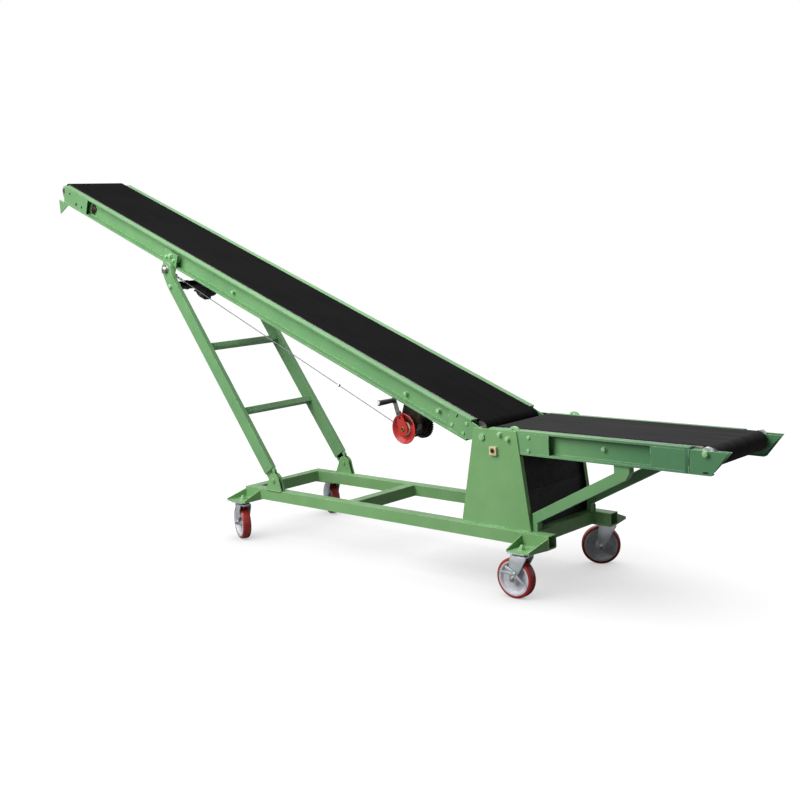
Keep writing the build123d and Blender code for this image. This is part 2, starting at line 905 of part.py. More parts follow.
# Cross ties inside the belt loop
tie_drop = 52
with BuildPart() as ties:
    for tie_share in tie_shares:
        with BuildSketch(placed(slope, Plane.XZ.offset(-web_inner))):
            with Locations((-tie_share * incline_length, -tie_drop)):
                Rectangle(tie_side, tie_side)
        extrude(amount=2 * web_inner)
keep(ties, "incline_ties")

# Gear motor: saddle between the channels, hanger, motor can and neck
motor_end = motor_start + motor_length
with BuildPart() as motor:
    with BuildSketch(placed(slope, Plane.XY.offset(-channel_depth))):
        with Locations((-motor_place, 0)):
            Rectangle(motor_saddle_length, 2 * web_inner)
    extrude(amount=motor_saddle_thick)
    with BuildSketch(placed(slope, Plane.XY.offset(-motor_drop))):
        with Locations((-motor_place, (motor_start + motor_end) / 2)):
            Rectangle(motor_hanger_length, motor_length - 10)
    extrude(amount=motor_drop - channel_depth)
    # start, end, radius, drop
    for start, end, radius, drop in (
        (motor_start, motor_end, motor_radius, motor_drop),
        (motor_neck_start, motor_start, motor_neck_radius, motor_neck_drop),
    ):
        with BuildSketch(placed(slope, Plane.XZ.offset(-start))):
            with Locations((-motor_place, -drop)):
                Circle(radius)
        extrude(amount=start - end)
keep(motor, "gear_motor")

# Frames of the winch: its shaft, and the crank leaned from the upright
winch_frame = slope * Location((-winch_place, 0, -winch_drop))
crank_frame = winch_frame * Location((0, 0, 0), (0, -crank_lean - incline_angle, 0))


def toothed_outline(teeth, shape):
    """Corner points of a toothed wheel from one tooth's (share of pitch, radius) pairs."""
    points = []
    for tooth in range(teeth):
        for share, radius in shape:
            angle = 2 * pi * (tooth + share) / teeth
            points.append((radius * cos(angle), radius * sin(angle)))
    return points


# Winch frame: foot under the near channel, two cheeks, two rods and the pawl
foot_drop = winch_drop - channel_depth
with BuildPart() as frame:
    with BuildSketch(placed(winch_frame, Plane.XY.offset(foot_drop - winch_foot_thick))):
        with Locations((0, -(winch_outer + winch_inner) / 2)):
            Rectangle(winch_foot_length, winch_outer - winch_inner)
    extrude(amount=winch_foot_thick)
    for cheek in (winch_inner, winch_outer - winch_sheet):
        with BuildSketch(placed(winch_frame, side_face(-1, cheek))):
            with BuildLine():
                Polyline(
                    (-winch_foot_length / 2, foot_drop - winch_foot_thick),
                    (-cheek_radius, 0),
                    (cheek_radius, 0),
                    (winch_foot_length / 2, foot_drop - winch_foot_thick),
                    close=True,
                )
            make_face()
            Circle(cheek_radius)
            Circle(winch_shaft_radius + running, mode=Mode.SUBTRACT)
        extrude(amount=winch_sheet)
    for rod_x in (-rod_offset, rod_offset):
        with BuildSketch(placed(winch_frame, side_face(-1, winch_inner - 4))):
            with Locations((rod_x, -rod_offset)):
                Circle(rod_radius)
        extrude(amount=winch_outer - winch_inner + 8)
    with BuildSketch(placed(winch_frame, side_face(-1, winch_outer))):
        with BuildLine():
            Polyline(
                (4, pawl_reach),
                (12, pawl_reach + 2),
                (pawl_length, pawl_reach + 14),
                (pawl_length + 4, pawl_reach + 4),
                (pawl_length, pawl_reach - 4),
                close=True,
            )
        make_face()
    extrude(amount=ratchet_gap + ratchet_thick)
keep(frame, "winch_frame")

# Winch drum on its shaft
drum_start = winch_inner + winch_sheet + 3
drum_end = winch_outer - winch_sheet - 3
gear_end = winch_inner - gear_gap
ratchet_start = winch_outer + ratchet_gap
with BuildPart() as drum:
    # inner end, outer end, radius
    for inner, outer, radius in (
        (drum_start, drum_end, drum_radius),
        (drum_start, drum_start + drum_flange_thick, drum_flange_radius),
        (drum_end - drum_flange_thick, drum_end, drum_flange_radius),
        (gear_end - gear_width - 6, cover_start, winch_shaft_radius),
    ):
        with BuildSketch(placed(winch_frame, side_face(-1, inner))):
            Circle(radius)
        extrude(amount=outer - inner)
keep(drum, "winch_drum")

# Toothed wheel on the shaft's inner end: rim, web and hub
gear_shape = ((0.0, gear_root), (0.18, gear_radius), (0.5, gear_radius), (0.68, gear_root))
with BuildPart() as gear:
    with BuildSketch(placed(winch_frame, side_face(-1, gear_end - gear_width))):
        with BuildLine():
            Polyline(*toothed_outline(gear_teeth, gear_shape), close=True)
        make_face()
        Circle(gear_root - 10, mode=Mode.SUBTRACT)
    extrude(amount=gear_width)
    # inner end, width, radius
    for inner, width, radius in (
        (gear_end - (gear_width + gear_web) / 2, gear_web, gear_root - 9),
        (gear_end - gear_width, gear_width, winch_shaft_radius + 9),
    ):
        with BuildSketch(placed(winch_frame, side_face(-1, inner))):
            Circle(radius)
            Circle(winch_shaft_radius + running, mode=Mode.SUBTRACT)
        extrude(amount=width)
keep(gear, "winch_gear")

# Ratchet ring beside the near cheek
ratchet_shape = ((0.0, ratchet_root), (0.86, ratchet_radius))
with BuildPart() as ratchet:
    with BuildSketch(placed(winch_frame, side_face(-1, ratchet_start))):
        with BuildLine():
            Polyline(*toothed_outline(ratchet_teeth, ratchet_shape), close=True)
        make_face()
        Circle(winch_shaft_radius + running, mode=Mode.SUBTRACT)
    extrude(amount=ratchet_thick)
keep(ratchet, "winch_ratchet")

# Dished round cover with a boss that carries the arm
with BuildPart() as cover:
    with BuildSketch(placed(winch_frame, Plane.YZ)):
        with BuildLine():
            Polyline(
                (-cover_start, 0),
                (-cover_start, cover_back_radius),
                (-cover_start - cover_depth, cover_radius),
                (-cover_start - cover_depth, cover_radius - cover_sheet),
                (-cover_start - cover_sheet, cover_back_radius - cover_sheet),
                (-cover_start - cover_sheet, cover_boss_radius),
                (-arm_start, cover_boss_radius - 4),
                (-arm_start, 0),
                close=True,
            )
        make_face()
    revolve(axis=Axis(winch_frame.position, (0, 1, 0)))
keep(cover, "winch_cover")

# Crank: tapered arm on the cover's boss, flat bar and grip
with BuildPart() as arm:
    with BuildSketch(placed(crank_frame, side_face(-1, arm_start))):
        with BuildLine():
            Polyline(
                (-arm_round, 0),
                (-arm_tip, arm_length),
                (arm_tip, arm_length),
                (arm_round, 0),
                close=True,
            )
        make_face()
        Circle(arm_round)
    extrude(amount=arm_thick)
keep(arm, "winch_arm")

with BuildPart() as bar:
    with BuildSketch(placed(crank_frame, side_face(-1, bar_inner))):
        with Locations((0, (bar_start + crank_radius) / 2)):
            Rectangle(bar_width, crank_radius - bar_start)
        with Locations((0, crank_radius)):
            Circle(bar_width / 2)
    extrude(amount=bar_thick)
keep(bar, "winch_bar")

with BuildPart() as grip:
    with BuildSketch(placed(crank_frame, Plane.YZ)):
        with BuildLine():
            Polyline(
                (-grip_start, crank_radius),
                (-grip_start, crank_radius + grip_radius - 1),
                (-grip_start - 4, crank_radius + grip_radius),
                (-grip_end + 6, crank_radius + grip_end_radius),
                (-grip_end, crank_radius + grip_end_radius - 3),
                (-grip_end, crank_radius),
                close=True,
            )
        make_face()
    grip_axis = crank_frame * Location((0, 0, crank_radius))
    revolve(axis=Axis(grip_axis.position, (0, 1, 0)))
keep(grip, "winch_grip")

# Carriage plates with guide rollers in the channels' mouths
carriage_inner = flange_half_width + seat
with BuildPart() as carriage:
    for sign in side_signs.values():
        with BuildSketch(placed(slope, side_face(sign, carriage_inner))):
            with Locations((-carriage_place, -(carriage_top + carriage_bottom) / 2)):
                Rectangle(carriage_length, carriage_bottom - carriage_top)
        extrude(amount=-sign * (carriage_sheet - seat))
        with BuildSketch(placed(slope, side_face(sign, web_outer + guide_gap))):
            for guide_x in (-38, 38):
                with Locations((-carriage_place + guide_x, -guide_drop)):
                    Circle(guide_radius)
        extrude(amount=-sign * (carriage_inner - web_outer - guide_gap))
keep(carriage, "carriage_plates")

# Cable eye inside the near carriage plate
with BuildPart() as eye:
    with BuildSketch(placed(slope, side_face(-1, cable_y - cable_eye_thick / 2))):
        with Locations((-cable_eye_place, -cable_eye_drop)):
            Rectangle(cable_eye_length, cable_eye_depth)
    extrude(amount=carriage_inner - cable_y + cable_eye_thick / 2)
keep(eye, "cable_eye")

# Lifting cable from the carriage's eye to the winch drum
cable_top = (cable_eye_place - cable_eye_length / 2 - seat, -cable_eye_drop)
cable_bottom = (winch_place + 10, -winch_drop - drum_radius - cable_radius - seat)
cable_start = slope_place(*cable_top)
cable_end = slope_place(*cable_bottom)
with BuildPart() as cable:
    cable_line = Edge.make_line(
        (cable_start[0], -cable_y, cable_start[1]), (cable_end[0], -cable_y, cable_end[1])
    )
    cable_plane = Plane(origin=cable_line @ 0, z_dir=cable_line % 0)
    with BuildSketch(cable_plane):
        Circle(cable_radius)
    extrude(amount=cable_line.length)
keep(cable, "winch_cable")
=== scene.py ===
"""Scene of the portable belt conveyor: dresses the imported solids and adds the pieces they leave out.

Sub-assemblies are modelled in millimetres in the machine's own layout (x = 0 at the rear end of
the base, y = 0 at the centre plane, z = 0 on the floor) and then placed in the shared frame.
"""

import json
import logging
from dataclasses import dataclass
from enum import Enum
from math import cos, pi, radians, sin
from typing import Any, Iterable, Optional, Sequence

import bpy
from mathutils import Matrix, Vector


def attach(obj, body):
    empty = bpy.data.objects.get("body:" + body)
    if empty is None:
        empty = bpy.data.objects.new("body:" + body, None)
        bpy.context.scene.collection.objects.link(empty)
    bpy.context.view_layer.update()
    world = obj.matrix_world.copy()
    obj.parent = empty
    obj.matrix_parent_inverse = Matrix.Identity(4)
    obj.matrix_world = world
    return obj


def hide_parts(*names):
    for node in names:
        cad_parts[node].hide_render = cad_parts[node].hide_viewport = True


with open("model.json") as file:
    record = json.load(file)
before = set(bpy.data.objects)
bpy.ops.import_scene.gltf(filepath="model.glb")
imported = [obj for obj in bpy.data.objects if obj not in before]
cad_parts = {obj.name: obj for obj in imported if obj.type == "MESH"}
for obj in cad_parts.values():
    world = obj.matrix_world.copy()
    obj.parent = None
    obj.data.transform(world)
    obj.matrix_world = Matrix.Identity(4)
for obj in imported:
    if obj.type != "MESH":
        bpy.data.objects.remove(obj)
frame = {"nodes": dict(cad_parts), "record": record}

log = logging.getLogger("conveyor")

MM = 0.001
MIDDLE_X = 666.4381130307007
MIDDLE_Y = 1.5

Point = Sequence[float]
Piece = bpy.types.Object
Socket = bpy.types.NodeSocket


# Frames of the machine


@dataclass(frozen=True)
class Axes:
    """A frame of the machine: an origin in machine millimetres, a tilt and a turn.

    Args:
        origin: place of the frame's zero in the machine's layout.
        tilt: turn about the cross direction (y), degrees.
        turn: turn about the upright, made after the tilt, degrees.
    """

    origin: tuple[float, float, float] = (0.0, 0.0, 0.0)
    tilt: float = 0.0
    turn: float = 0.0

    def matrix(self) -> Matrix:
        """Return the map from this frame's millimetres to the shared frame's metres."""
        x, y, z = self.origin
        place = Matrix.Translation(((x - MIDDLE_X) * MM, (y - MIDDLE_Y) * MM, z * MM))
        turned = Matrix.Rotation(radians(self.turn), 4, "Z")
        tilted = Matrix.Rotation(radians(self.tilt), 4, "Y")
        return place @ turned @ tilted @ Matrix.Scale(MM, 4)

    def put(self, point: Point, facing: Point = (0, 0, 1), spin: float = 0.0) -> Matrix:
        """Place a master piece that was modelled along +Z.

        Args:
            point: where its zero goes, in this frame's millimetres.
            facing: the direction its +Z takes.
            spin: turn about that direction, degrees.

        Returns:
            The matrix that takes the master to its place.
        """
        aim = Vector(facing).to_track_quat("Z", "Y").to_matrix().to_4x4()
        own = Matrix.Rotation(radians(spin), 4, "Z")
        return self.matrix() @ Matrix.Translation(Vector(point)) @ aim @ own


MACHINE = Axes()
INCLINE_ANGLE = 21.2
SLOPE = Axes((1842.0, 0.0, 800.0), INCLINE_ANGLE)
STRUT_LEAN = 36.4
LEAN = Axes((265.0, 0.0, 368.0), -STRUT_LEAN)
WINCH = Axes((1311.7, 0.0, 754.7), INCLINE_ANGLE)
CRANK = Axes((1311.7, 0.0, 754.7), -17.0)


class Face(Enum):
    """The plane that an outline is drawn in, named by what it shows."""

    SIDE = "side"
    PLAN = "plan"
    END = "end"

    def point(self, across: float, up: float, depth: float = 0.0) -> Vector:
        """Return the point at (across, up) in this plane, at a depth along its normal."""
        if self is Face.SIDE:
            return Vector((across, depth, up))
        if self is Face.PLAN:
            return Vector((across, up, depth))
        return Vector((depth, across, up))


# Modelling with Blender's operators


def only(piece: Piece) -> Piece:
    """Select one piece alone, make it active and return it."""
    bpy.ops.object.select_all(action="DESELECT")
    piece.select_set(True)
    bpy.context.view_layer.objects.active = piece
    return piece


def trace(name: str, points: Sequence[Vector], filled: bool = True) -> Piece:
    """Draw a line from corner to corner by extruding a point.

    Args:
        name: name of the new piece.
        points: its corners in order.
        filled: close the line and fill it with a face.

    Returns:
        The flat piece.
    """
    bpy.ops.object.select_all(action="DESELECT")
    bpy.ops.mesh.primitive_plane_add(size=1)
    piece = bpy.context.object
    piece.name = piece.data.name = name
    bpy.ops.object.mode_set(mode="EDIT")
    bpy.ops.mesh.select_mode(type="VERT")
    bpy.ops.mesh.merge(type="CENTER")
    bpy.ops.transform.translate(value=points[0])
    for start, end in zip(points, points[1:]):
        bpy.ops.mesh.extrude_region_move(TRANSFORM_OT_translate={"value": end - start})
    if filled:
        bpy.ops.mesh.select_all(action="SELECT")
        bpy.ops.mesh.edge_face_add()
    bpy.ops.object.mode_set(mode="OBJECT")
    return piece


def soften(piece: Piece, width: float, segments: int = 2, angle: float = 35.0) -> Piece:
    """Round the edges of a piece and shade it smooth up to an angle.

    Args:
        piece: the piece, in millimetres.
        width: width of the rounding, none for 0.
        segments: facets across the rounding.
        angle: edges sharper than this are rounded and stay crisp, degrees.

    Returns:
        The same piece.
    """
    only(piece)
    if width:
        bpy.ops.object.modifier_add(type="BEVEL")
        bevel = piece.modifiers[-1]
        bevel.width = width
        bevel.segments = segments
        bevel.limit_method = "ANGLE"
        bevel.angle_limit = radians(angle)
        bpy.ops.object.modifier_apply(modifier=bevel.name)
    bpy.ops.object.shade_smooth_by_angle(angle=radians(angle))
    return piece


def prism(
    name: str, face: Face, outline: Sequence[Point], start: float, end: float, edge: float = 0.8
) -> Piece:
    """Extrude a traced outline between two depths.

    Args:
        name: name of the new piece.
        face: plane of the outline.
        outline: its corners in order, millimetres.
        start: depth of one end.
        end: depth of the other end.
        edge: width of the rounding on its edges.

    Returns:
        The solid piece.
    """
    piece = trace(name, [face.point(across, up, start) for across, up in outline])
    only(piece)
    bpy.ops.object.mode_set(mode="EDIT")
    bpy.ops.mesh.select_all(action="SELECT")
    step = face.point(0, 0, end - start)
    bpy.ops.mesh.extrude_region_move(TRANSFORM_OT_translate={"value": step})
    bpy.ops.mesh.select_all(action="SELECT")
    bpy.ops.mesh.normals_make_consistent(inside=False)
    bpy.ops.object.mode_set(mode="OBJECT")
    return soften(piece, edge)


def turned(
    name: str,
    profile: Sequence[Point],
    centre: Point = (0, 0, 0),
    axis: Point = (0, 0, 1),
    steps: int = 40,
    edge: float = 0.0,
) -> Piece:
    """Spin a profile about an axis, as on a lathe.

    Args:
        name: name of the new piece.
        profile: (distance along the axis, radius) pairs, which start and end on the axis or
            come back to the first pair.
        centre: the axis's zero.
        axis: its direction.
        steps: facets round it.
        edge: width of the rounding on its edges.

    Returns:
        The turned piece.
    """
    along = Vector(axis).normalized()
    out = along.orthogonal().normalized()
    middle = Vector(centre)
    line = [middle + along * distance + out * radius for distance, radius in profile]
    piece = trace(name, line, filled=False)
    only(piece)
    bpy.ops.object.mode_set(mode="EDIT")
    bpy.ops.mesh.select_all(action="SELECT")
    bpy.ops.mesh.spin(steps=steps, angle=2 * pi, center=middle, axis=along)
    bpy.ops.mesh.select_all(action="SELECT")
    bpy.ops.mesh.remove_doubles(threshold=0.001)
    bpy.ops.mesh.normals_make_consistent(inside=False)
    bpy.ops.object.mode_set(mode="OBJECT")
    return soften(piece, edge)


def joined(name: str, pieces: Iterable[Piece]) -> Piece:
    """Join pieces into one and return it under the name."""
    together = list(pieces)
    only(together[0])
    for piece in together:
        piece.select_set(True)
    if len(together) > 1:
        bpy.ops.object.join()
    whole = bpy.context.view_layer.objects.active
    whole.name = whole.data.name = name
    return whole


def settle(piece: Piece, place: Matrix) -> Piece:
    """Move a piece to its place in the shared frame and put that place in its mesh."""
    only(piece)
    piece.matrix_world = place
    bpy.ops.object.transform_apply(location=True, rotation=True, scale=True)
    return piece


def copies(name: str, master: Piece, places: Sequence[Matrix]) -> Piece:
    """Copy a master piece to every place and join the copies.

    Args:
        name: name of the joined piece.
        master: the piece to copy, which is used up.
        places: matrices from the master's millimetres to the shared frame.

    Returns:
        The joined piece, in its place.
    """
    made = []
    for place in places:
        twin = master.copy()
        twin.data = master.data.copy()
        bpy.context.scene.collection.objects.link(twin)
        made.append(settle(twin, place))
    bpy.data.objects.remove(master)
    return joined(name, made)


def arc(
    centre: Point, radius: float, start: float, end: float, count: int
) -> list[tuple[float, float]]:
    """Points of an arc in a plane.

    Args:
        centre: its middle.
        radius: its radius.
        start: angle of the first point, degrees.
        end: angle of the last point, degrees.
        count: how many points.

    Returns:
        The points in order.
    """
    angles = [radians(start + (end - start) * step / (count - 1)) for step in range(count)]
    return [(centre[0] + radius * cos(turn), centre[1] + radius * sin(turn)) for turn in angles]


# Finishes


def tint(code: str) -> tuple[float, float, float, float]:
    """Return the linear colour of an sRGB hex code such as #7AA670."""
    shares = [int(code[place : place + 2], 16) / 255 for place in (1, 3, 5)]
    linear = [
        share / 12.92 if share <= 0.04045 else ((share + 0.055) / 1.055) ** 2.4 for share in shares
    ]
    return (linear[0], linear[1], linear[2], 1.0)


def node(
    tree: bpy.types.NodeTree,
    kind: str,
    settings: Optional[dict[Any, Any]] = None,
    links: Optional[dict[Any, Socket]] = None,
) -> bpy.types.Node:
    """Add a shader node with its settings and links.

    Args:
        tree: the node tree.
        kind: the node's type name.
        settings: properties, input values, or the stops of a colour ramp.
        links: input names or numbers and the sockets that feed them.

    Returns:
        The new node.
    """
    made = tree.nodes.new(kind)
    for name, value in (settings or {}).items():
        if name == "stops":
            stops = made.color_ramp.elements
            while len(stops) < len(value):
                stops.new(0.5)
            for stop, (place, colour) in zip(stops, value):
                stop.position = place
                stop.color = colour
        elif isinstance(name, str) and hasattr(made, name):
            setattr(made, name, value)
        else:
            made.inputs[name].default_value = value
    for name, source in (links or {}).items():
        tree.links.new(source, made.inputs[name])
    return made


@dataclass(frozen=True)
class Finish:
    """A surface finish, named for what the real one is.

    Args:
        name: name of the material.
        colour: its main colour, sRGB hex.
        roughness: roughness of the clean surface.
    """

    name: str
    colour: str
    roughness: float

    def material(self) -> bpy.types.Material:
        """Return the material, made on its first use."""
        known = bpy.data.materials.get(self.name)
        if known:
            return known
        made = bpy.data.materials.new(self.name)
        made.use_nodes = True
        tree = made.node_tree
        tree.nodes.clear()
        shader = node(tree, "ShaderNodeBsdfPrincipled", {"Roughness": self.roughness})
        node(tree, "ShaderNodeOutputMaterial", links={"Surface": shader.outputs["BSDF"]})
        self.fill(tree, shader)
        return made

    def fill(self, tree: bpy.types.NodeTree, shader: bpy.types.Node) -> None:
        """Add the nodes that give the surface its look."""
        raise NotImplementedError

    def grain(
        self,
        tree: bpy.types.NodeTree,
        size: float,
        detail: float = 3.0,
        stretch: Point = (1, 1, 1),
        tilt: float = 0.0,
    ) -> Socket:
        """Noise at a real size.

        Args:
            tree: the node tree.
            size: size of its blotches, millimetres.
            detail: how many finer layers it has.
            stretch: share of that scale along x, y and z.
            tilt: turn of the stretch about the cross direction, degrees.

        Returns:
            The noise value, about 0.5 in the mean.
        """
        where = node(tree, "ShaderNodeTexCoord").outputs["Object"]
        if tilt or tuple(stretch) != (1, 1, 1):
            turned_about = node(
                tree,
                "ShaderNodeVectorRotate",
                {"rotation_type": "Y_AXIS", "Angle": -radians(tilt)},
                {"Vector": where},
            )
            where = node(
                tree, "ShaderNodeMapping", {"Scale": stretch}, {"Vector": turned_about.outputs[0]}
            ).outputs[0]
        return node(
            tree,
            "ShaderNodeTexNoise",
            {"Scale": 1000 / size, "Detail": detail, "Roughness": 0.6},
            {"Vector": where},
        ).outputs[0]

    def patches(
        self,
        tree: bpy.types.NodeTree,
        size: float,
        detail: float,
        between: tuple[float, float],
        gives: tuple[float, float] = (0.0, 1.0),
        stretch: Point = (1, 1, 1),
        tilt: float = 0.0,
    ) -> Socket:
        """Noise whose values between two levels are spread out, which leaves patches.

        Args:
            tree: the node tree.
            size: size of the patches, millimetres.
            detail: how many finer layers they have.
            between: noise levels at which a patch starts and at which it is full.
            gives: the value outside the patches and the value inside them.
            stretch: share of that scale along x, y and z.
            tilt: turn of the stretch about the cross direction, degrees.

        Returns:
            The value, clamped to what it gives.
        """
        levels = {"From Min": between[0], "From Max": between[1], "To Min": gives[0], "To Max": gives[1]}
        noise = self.grain(tree, size, detail, stretch, tilt)
        return node(tree, "ShaderNodeMapRange", levels, {"Value": noise}).outputs[0]

    def coat(
        self, tree: bpy.types.NodeTree, under: Socket | str, over: str, amounts: Sequence[Socket | float]
    ) -> Socket:
        """Lay one colour over another, as much as the product of the amounts.

        Args:
            tree: the node tree.
            under: the colour below, a socket or an sRGB hex code.
            over: the colour on top, sRGB hex.
            amounts: sockets or numbers, the first one a socket.

        Returns:
            The colour of both.
        """
        share = amounts[0]
        for amount in amounts[1:]:
            settings: dict[Any, Any] = {"operation": "MULTIPLY"}
            links: dict[Any, Socket] = {0: share}
            (settings if isinstance(amount, float) else links)[1] = amount
            share = node(tree, "ShaderNodeMath", settings, links).outputs[0]
        settings = {"data_type": "RGBA", 7: tint(over)}
        links = {0: share}
        if isinstance(under, str):
            settings[6] = tint(under)
        else:
            links[6] = under
        return node(tree, "ShaderNodeMix", settings, links).outputs[2]

    def edges(self, tree: bpy.types.NodeTree, radius: float) -> Socket:
        """Return a value that rises to 1 within a radius in millimetres of an edge."""
        rounded = node(tree, "ShaderNodeBevel", {"samples": 4, "Radius": radius * MM})
        flat = node(tree, "ShaderNodeNewGeometry")
        alike = node(
            tree,
            "ShaderNodeVectorMath",
            {"operation": "DOT_PRODUCT"},
            {0: rounded.outputs[0], 1: flat.outputs["Normal"]},
        ).outputs["Value"]
        # The two normals agree on the flat, and less and less towards the edge.
        nearness = {"From Min": 0.99, "From Max": 0.86}
        return node(tree, "ShaderNodeMapRange", nearness, {"Value": alike}).outputs[0]

    def upward(self, tree: bpy.types.NodeTree) -> Socket:
        """Return a value that is 1 on faces that look up and 0 on upright ones."""
        normal = node(tree, "ShaderNodeNewGeometry").outputs["Normal"]
        height = node(tree, "ShaderNodeSeparateXYZ", links={0: normal}).outputs["Z"]
        levelness = {"From Min": 0.3, "From Max": 0.95}
        return node(tree, "ShaderNodeMapRange", levelness, {"Value": height}).outputs[0]

    def bumps(self, tree: bpy.types.NodeTree, layers: Sequence[tuple[Socket, float]]) -> Socket:
        """Stack bump layers.

        Args:
            tree: the node tree.
            layers: (height value, real height in millimetres) pairs.

        Returns:
            The bumped normal.
        """
        normal = None
        for height, size in layers:
            links = {"Height": height}
            if normal:
                links["Normal"] = normal
            normal = node(
                tree, "ShaderNodeBump", {"Strength": 1.0, "Distance": size * MM}, links
            ).outputs[0]
        return normal


@dataclass(frozen=True)
class Enamel(Finish):
    """Sprayed enamel on steel: mottled, orange-peeled, dusty on top and chipped along its edges; on the
    greens the pale edge colour also paints a highlight.

    Args:
        tone: the second tone of the mottle, sRGB hex.
        dust: colour of the dust on upward faces, sRGB hex.
        dusting: how much dust lies there.
        chip_and_highlight: colour where the edge is worn through, on the greens a pale one that also
            paints a highlight along the edge, sRGB hex.
        wear_and_highlight: how much of the edge takes that colour.
        painted_inner_shade: colour painted as shade on the faces that look towards -Y; none for the enamel
            itself.
        painted_falloff: darker colour that it turns to along +X, painted shade where the light falls off;
            none for no change.
        falloff_run: where the change starts and ends in the shared frame, metres.
    """

    tone: str = "#000000"
    dust: str = "#B9BFB0"
    dusting: float = 0.25
    chip_and_highlight: str = "#8C9384"
    wear_and_highlight: float = 0.5
    painted_inner_shade: str = ""
    painted_falloff: str = ""
    falloff_run: tuple[float, float] = (1.62, 2.06)

    def fill(self, tree: bpy.types.NodeTree, shader: bpy.types.Node) -> None:
        """Add the enamel's mottle, dust, chips and orange peel."""
        # Spraying leaves tones that drift over a hand's breadth or more.
        mottle = self.patches(tree, 260, 4, (0.36, 0.66))
        colour = self.coat(tree, self.colour, self.tone, [mottle])
        # Painted shade: the colour darkens along +X as the light falls off.
        if self.painted_falloff:
            start, end = self.falloff_run
            where = node(tree, "ShaderNodeTexCoord").outputs["Object"]
            along = node(tree, "ShaderNodeSeparateXYZ", links={0: where}).outputs["X"]
            run = {"From Min": start, "From Max": end}
            falloff_share = node(tree, "ShaderNodeMapRange", run, {"Value": along})
            colour = self.coat(tree, colour, self.painted_falloff, [falloff_share.outputs[0]])
        settled = self.patches(tree, 70, 5, (0.3, 0.7))
        colour = self.coat(tree, colour, self.dust, [self.upward(tree), settled, self.dusting])
        # Real chips are 1 to 3 mm; they are drawn 9 mm long so that they show. On the greens the pale
        # colour over most of the edge also paints a highlight.
        worn_and_lit = self.patches(tree, 9, 4, (0.62 - 0.2 * self.wear_and_highlight, 0.68))
        colour = self.coat(tree, colour, self.chip_and_highlight, [self.edges(tree, 4.0), worn_and_lit, 0.8])
        # Painted shade: faces that look towards -Y are darkened to the given colour.
        if self.painted_inner_shade:
            facing = node(tree, "ShaderNodeTexCoord").outputs["Normal"]
            across = node(tree, "ShaderNodeSeparateXYZ", links={0: facing}).outputs["Y"]
            turned_in = {"From Min": -0.6, "From Max": -0.9}
            inside = node(tree, "ShaderNodeMapRange", turned_in, {"Value": across})
            colour = self.coat(tree, colour, self.painted_inner_shade, [inside.outputs[0]])
        tree.links.new(colour, shader.inputs["Base Color"])
        gloss = self.patches(
            tree, 45, 4, (0.35, 0.7), (self.roughness - 0.05, self.roughness + 0.13)
        )
        tree.links.new(gloss, shader.inputs["Roughness"])
        # Orange peel is about 2 mm across; it is drawn at 5 mm.
        peel = self.bumps(tree, [(self.grain(tree, 5, 2), 0.06), (self.grain(tree, 120, 1), 0.9)])
        tree.links.new(peel, shader.inputs["Normal"])


@dataclass(frozen=True)
class Belting(Finish):
    """Rubber covered belting with a fabric impression, smeared along its run by what it carries.

    Args:
        dust: colour of the dust that is rubbed in, sRGB hex.
        dusting: how much of it there is.
        tilt: slope of the belt's run, degrees.
        thread: colour of the fabric that shows where the edges are rubbed, sRGB hex.
    """

    dust: str = "#8A867C"
    dusting: float = 0.1
    tilt: float = 0.0
    thread: str = "#55534E"

    def fill(self, tree: bpy.types.NodeTree, shader: bpy.types.Node) -> None:
        """Add the belt's smears, dust and fabric impression."""
        smear = self.patches(tree, 520, 5, (0.42, 0.72), stretch=(1, 26, 1), tilt=self.tilt)
        rubbed = self.patches(tree, 330, 4, (0.3, 0.7))
        colour = self.coat(tree, self.colour, self.dust, [smear, rubbed, self.dusting])
        colour = self.coat(tree, colour, self.thread, [self.edges(tree, 3.0), 0.35])
        tree.links.new(colour, shader.inputs["Base Color"])
        dull = self.patches(tree, 330, 4, (0.3, 0.7), (self.roughness - 0.1, self.roughness + 0.08))
        tree.links.new(dull, shader.inputs["Roughness"])
        shader.inputs["Specular IOR Level"].default_value = 0.05
        # The fabric's threads are 1.2 mm apart; the impression is drawn at 5 mm.
        cloth = [(self.grain(tree, 5, 2), 0.12), (self.grain(tree, 420, 1), 1.0)]
        tree.links.new(self.bumps(tree, cloth), shader.inputs["Normal"])


@dataclass(frozen=True)
class Urethane(Finish):
    """Moulded polyurethane or plastic: glossy, a little cloudy, scuffed where it touches.

    Args:
        deep: the darker tone inside it, sRGB hex.
        scuff: colour of the scuffs, sRGB hex.
        scuffing: how much of it is scuffed.
    """

    deep: str = "#000000"
    scuff: str = "#9A8478"
    scuffing: float = 0.2

    def fill(self, tree: bpy.types.NodeTree, shader: bpy.types.Node) -> None:
        """Add the cloudiness, scuffs and moulded skin."""
        cloud = self.patches(tree, 60, 3, (0.35, 0.65))
        colour = self.coat(tree, self.colour, self.deep, [cloud])
        scuffs = self.patches(tree, 14, 5, (0.56, 0.74))
        colour = self.coat(tree, colour, self.scuff, [scuffs, self.scuffing])
        tree.links.new(colour, shader.inputs["Base Color"])
        dull = self.patches(tree, 14, 5, (0.56, 0.74), (self.roughness, self.roughness + 0.25))
        tree.links.new(dull, shader.inputs["Roughness"])
        skin = self.bumps(tree, [(self.grain(tree, 6, 2), 0.05)])
        tree.links.new(skin, shader.inputs["Normal"])


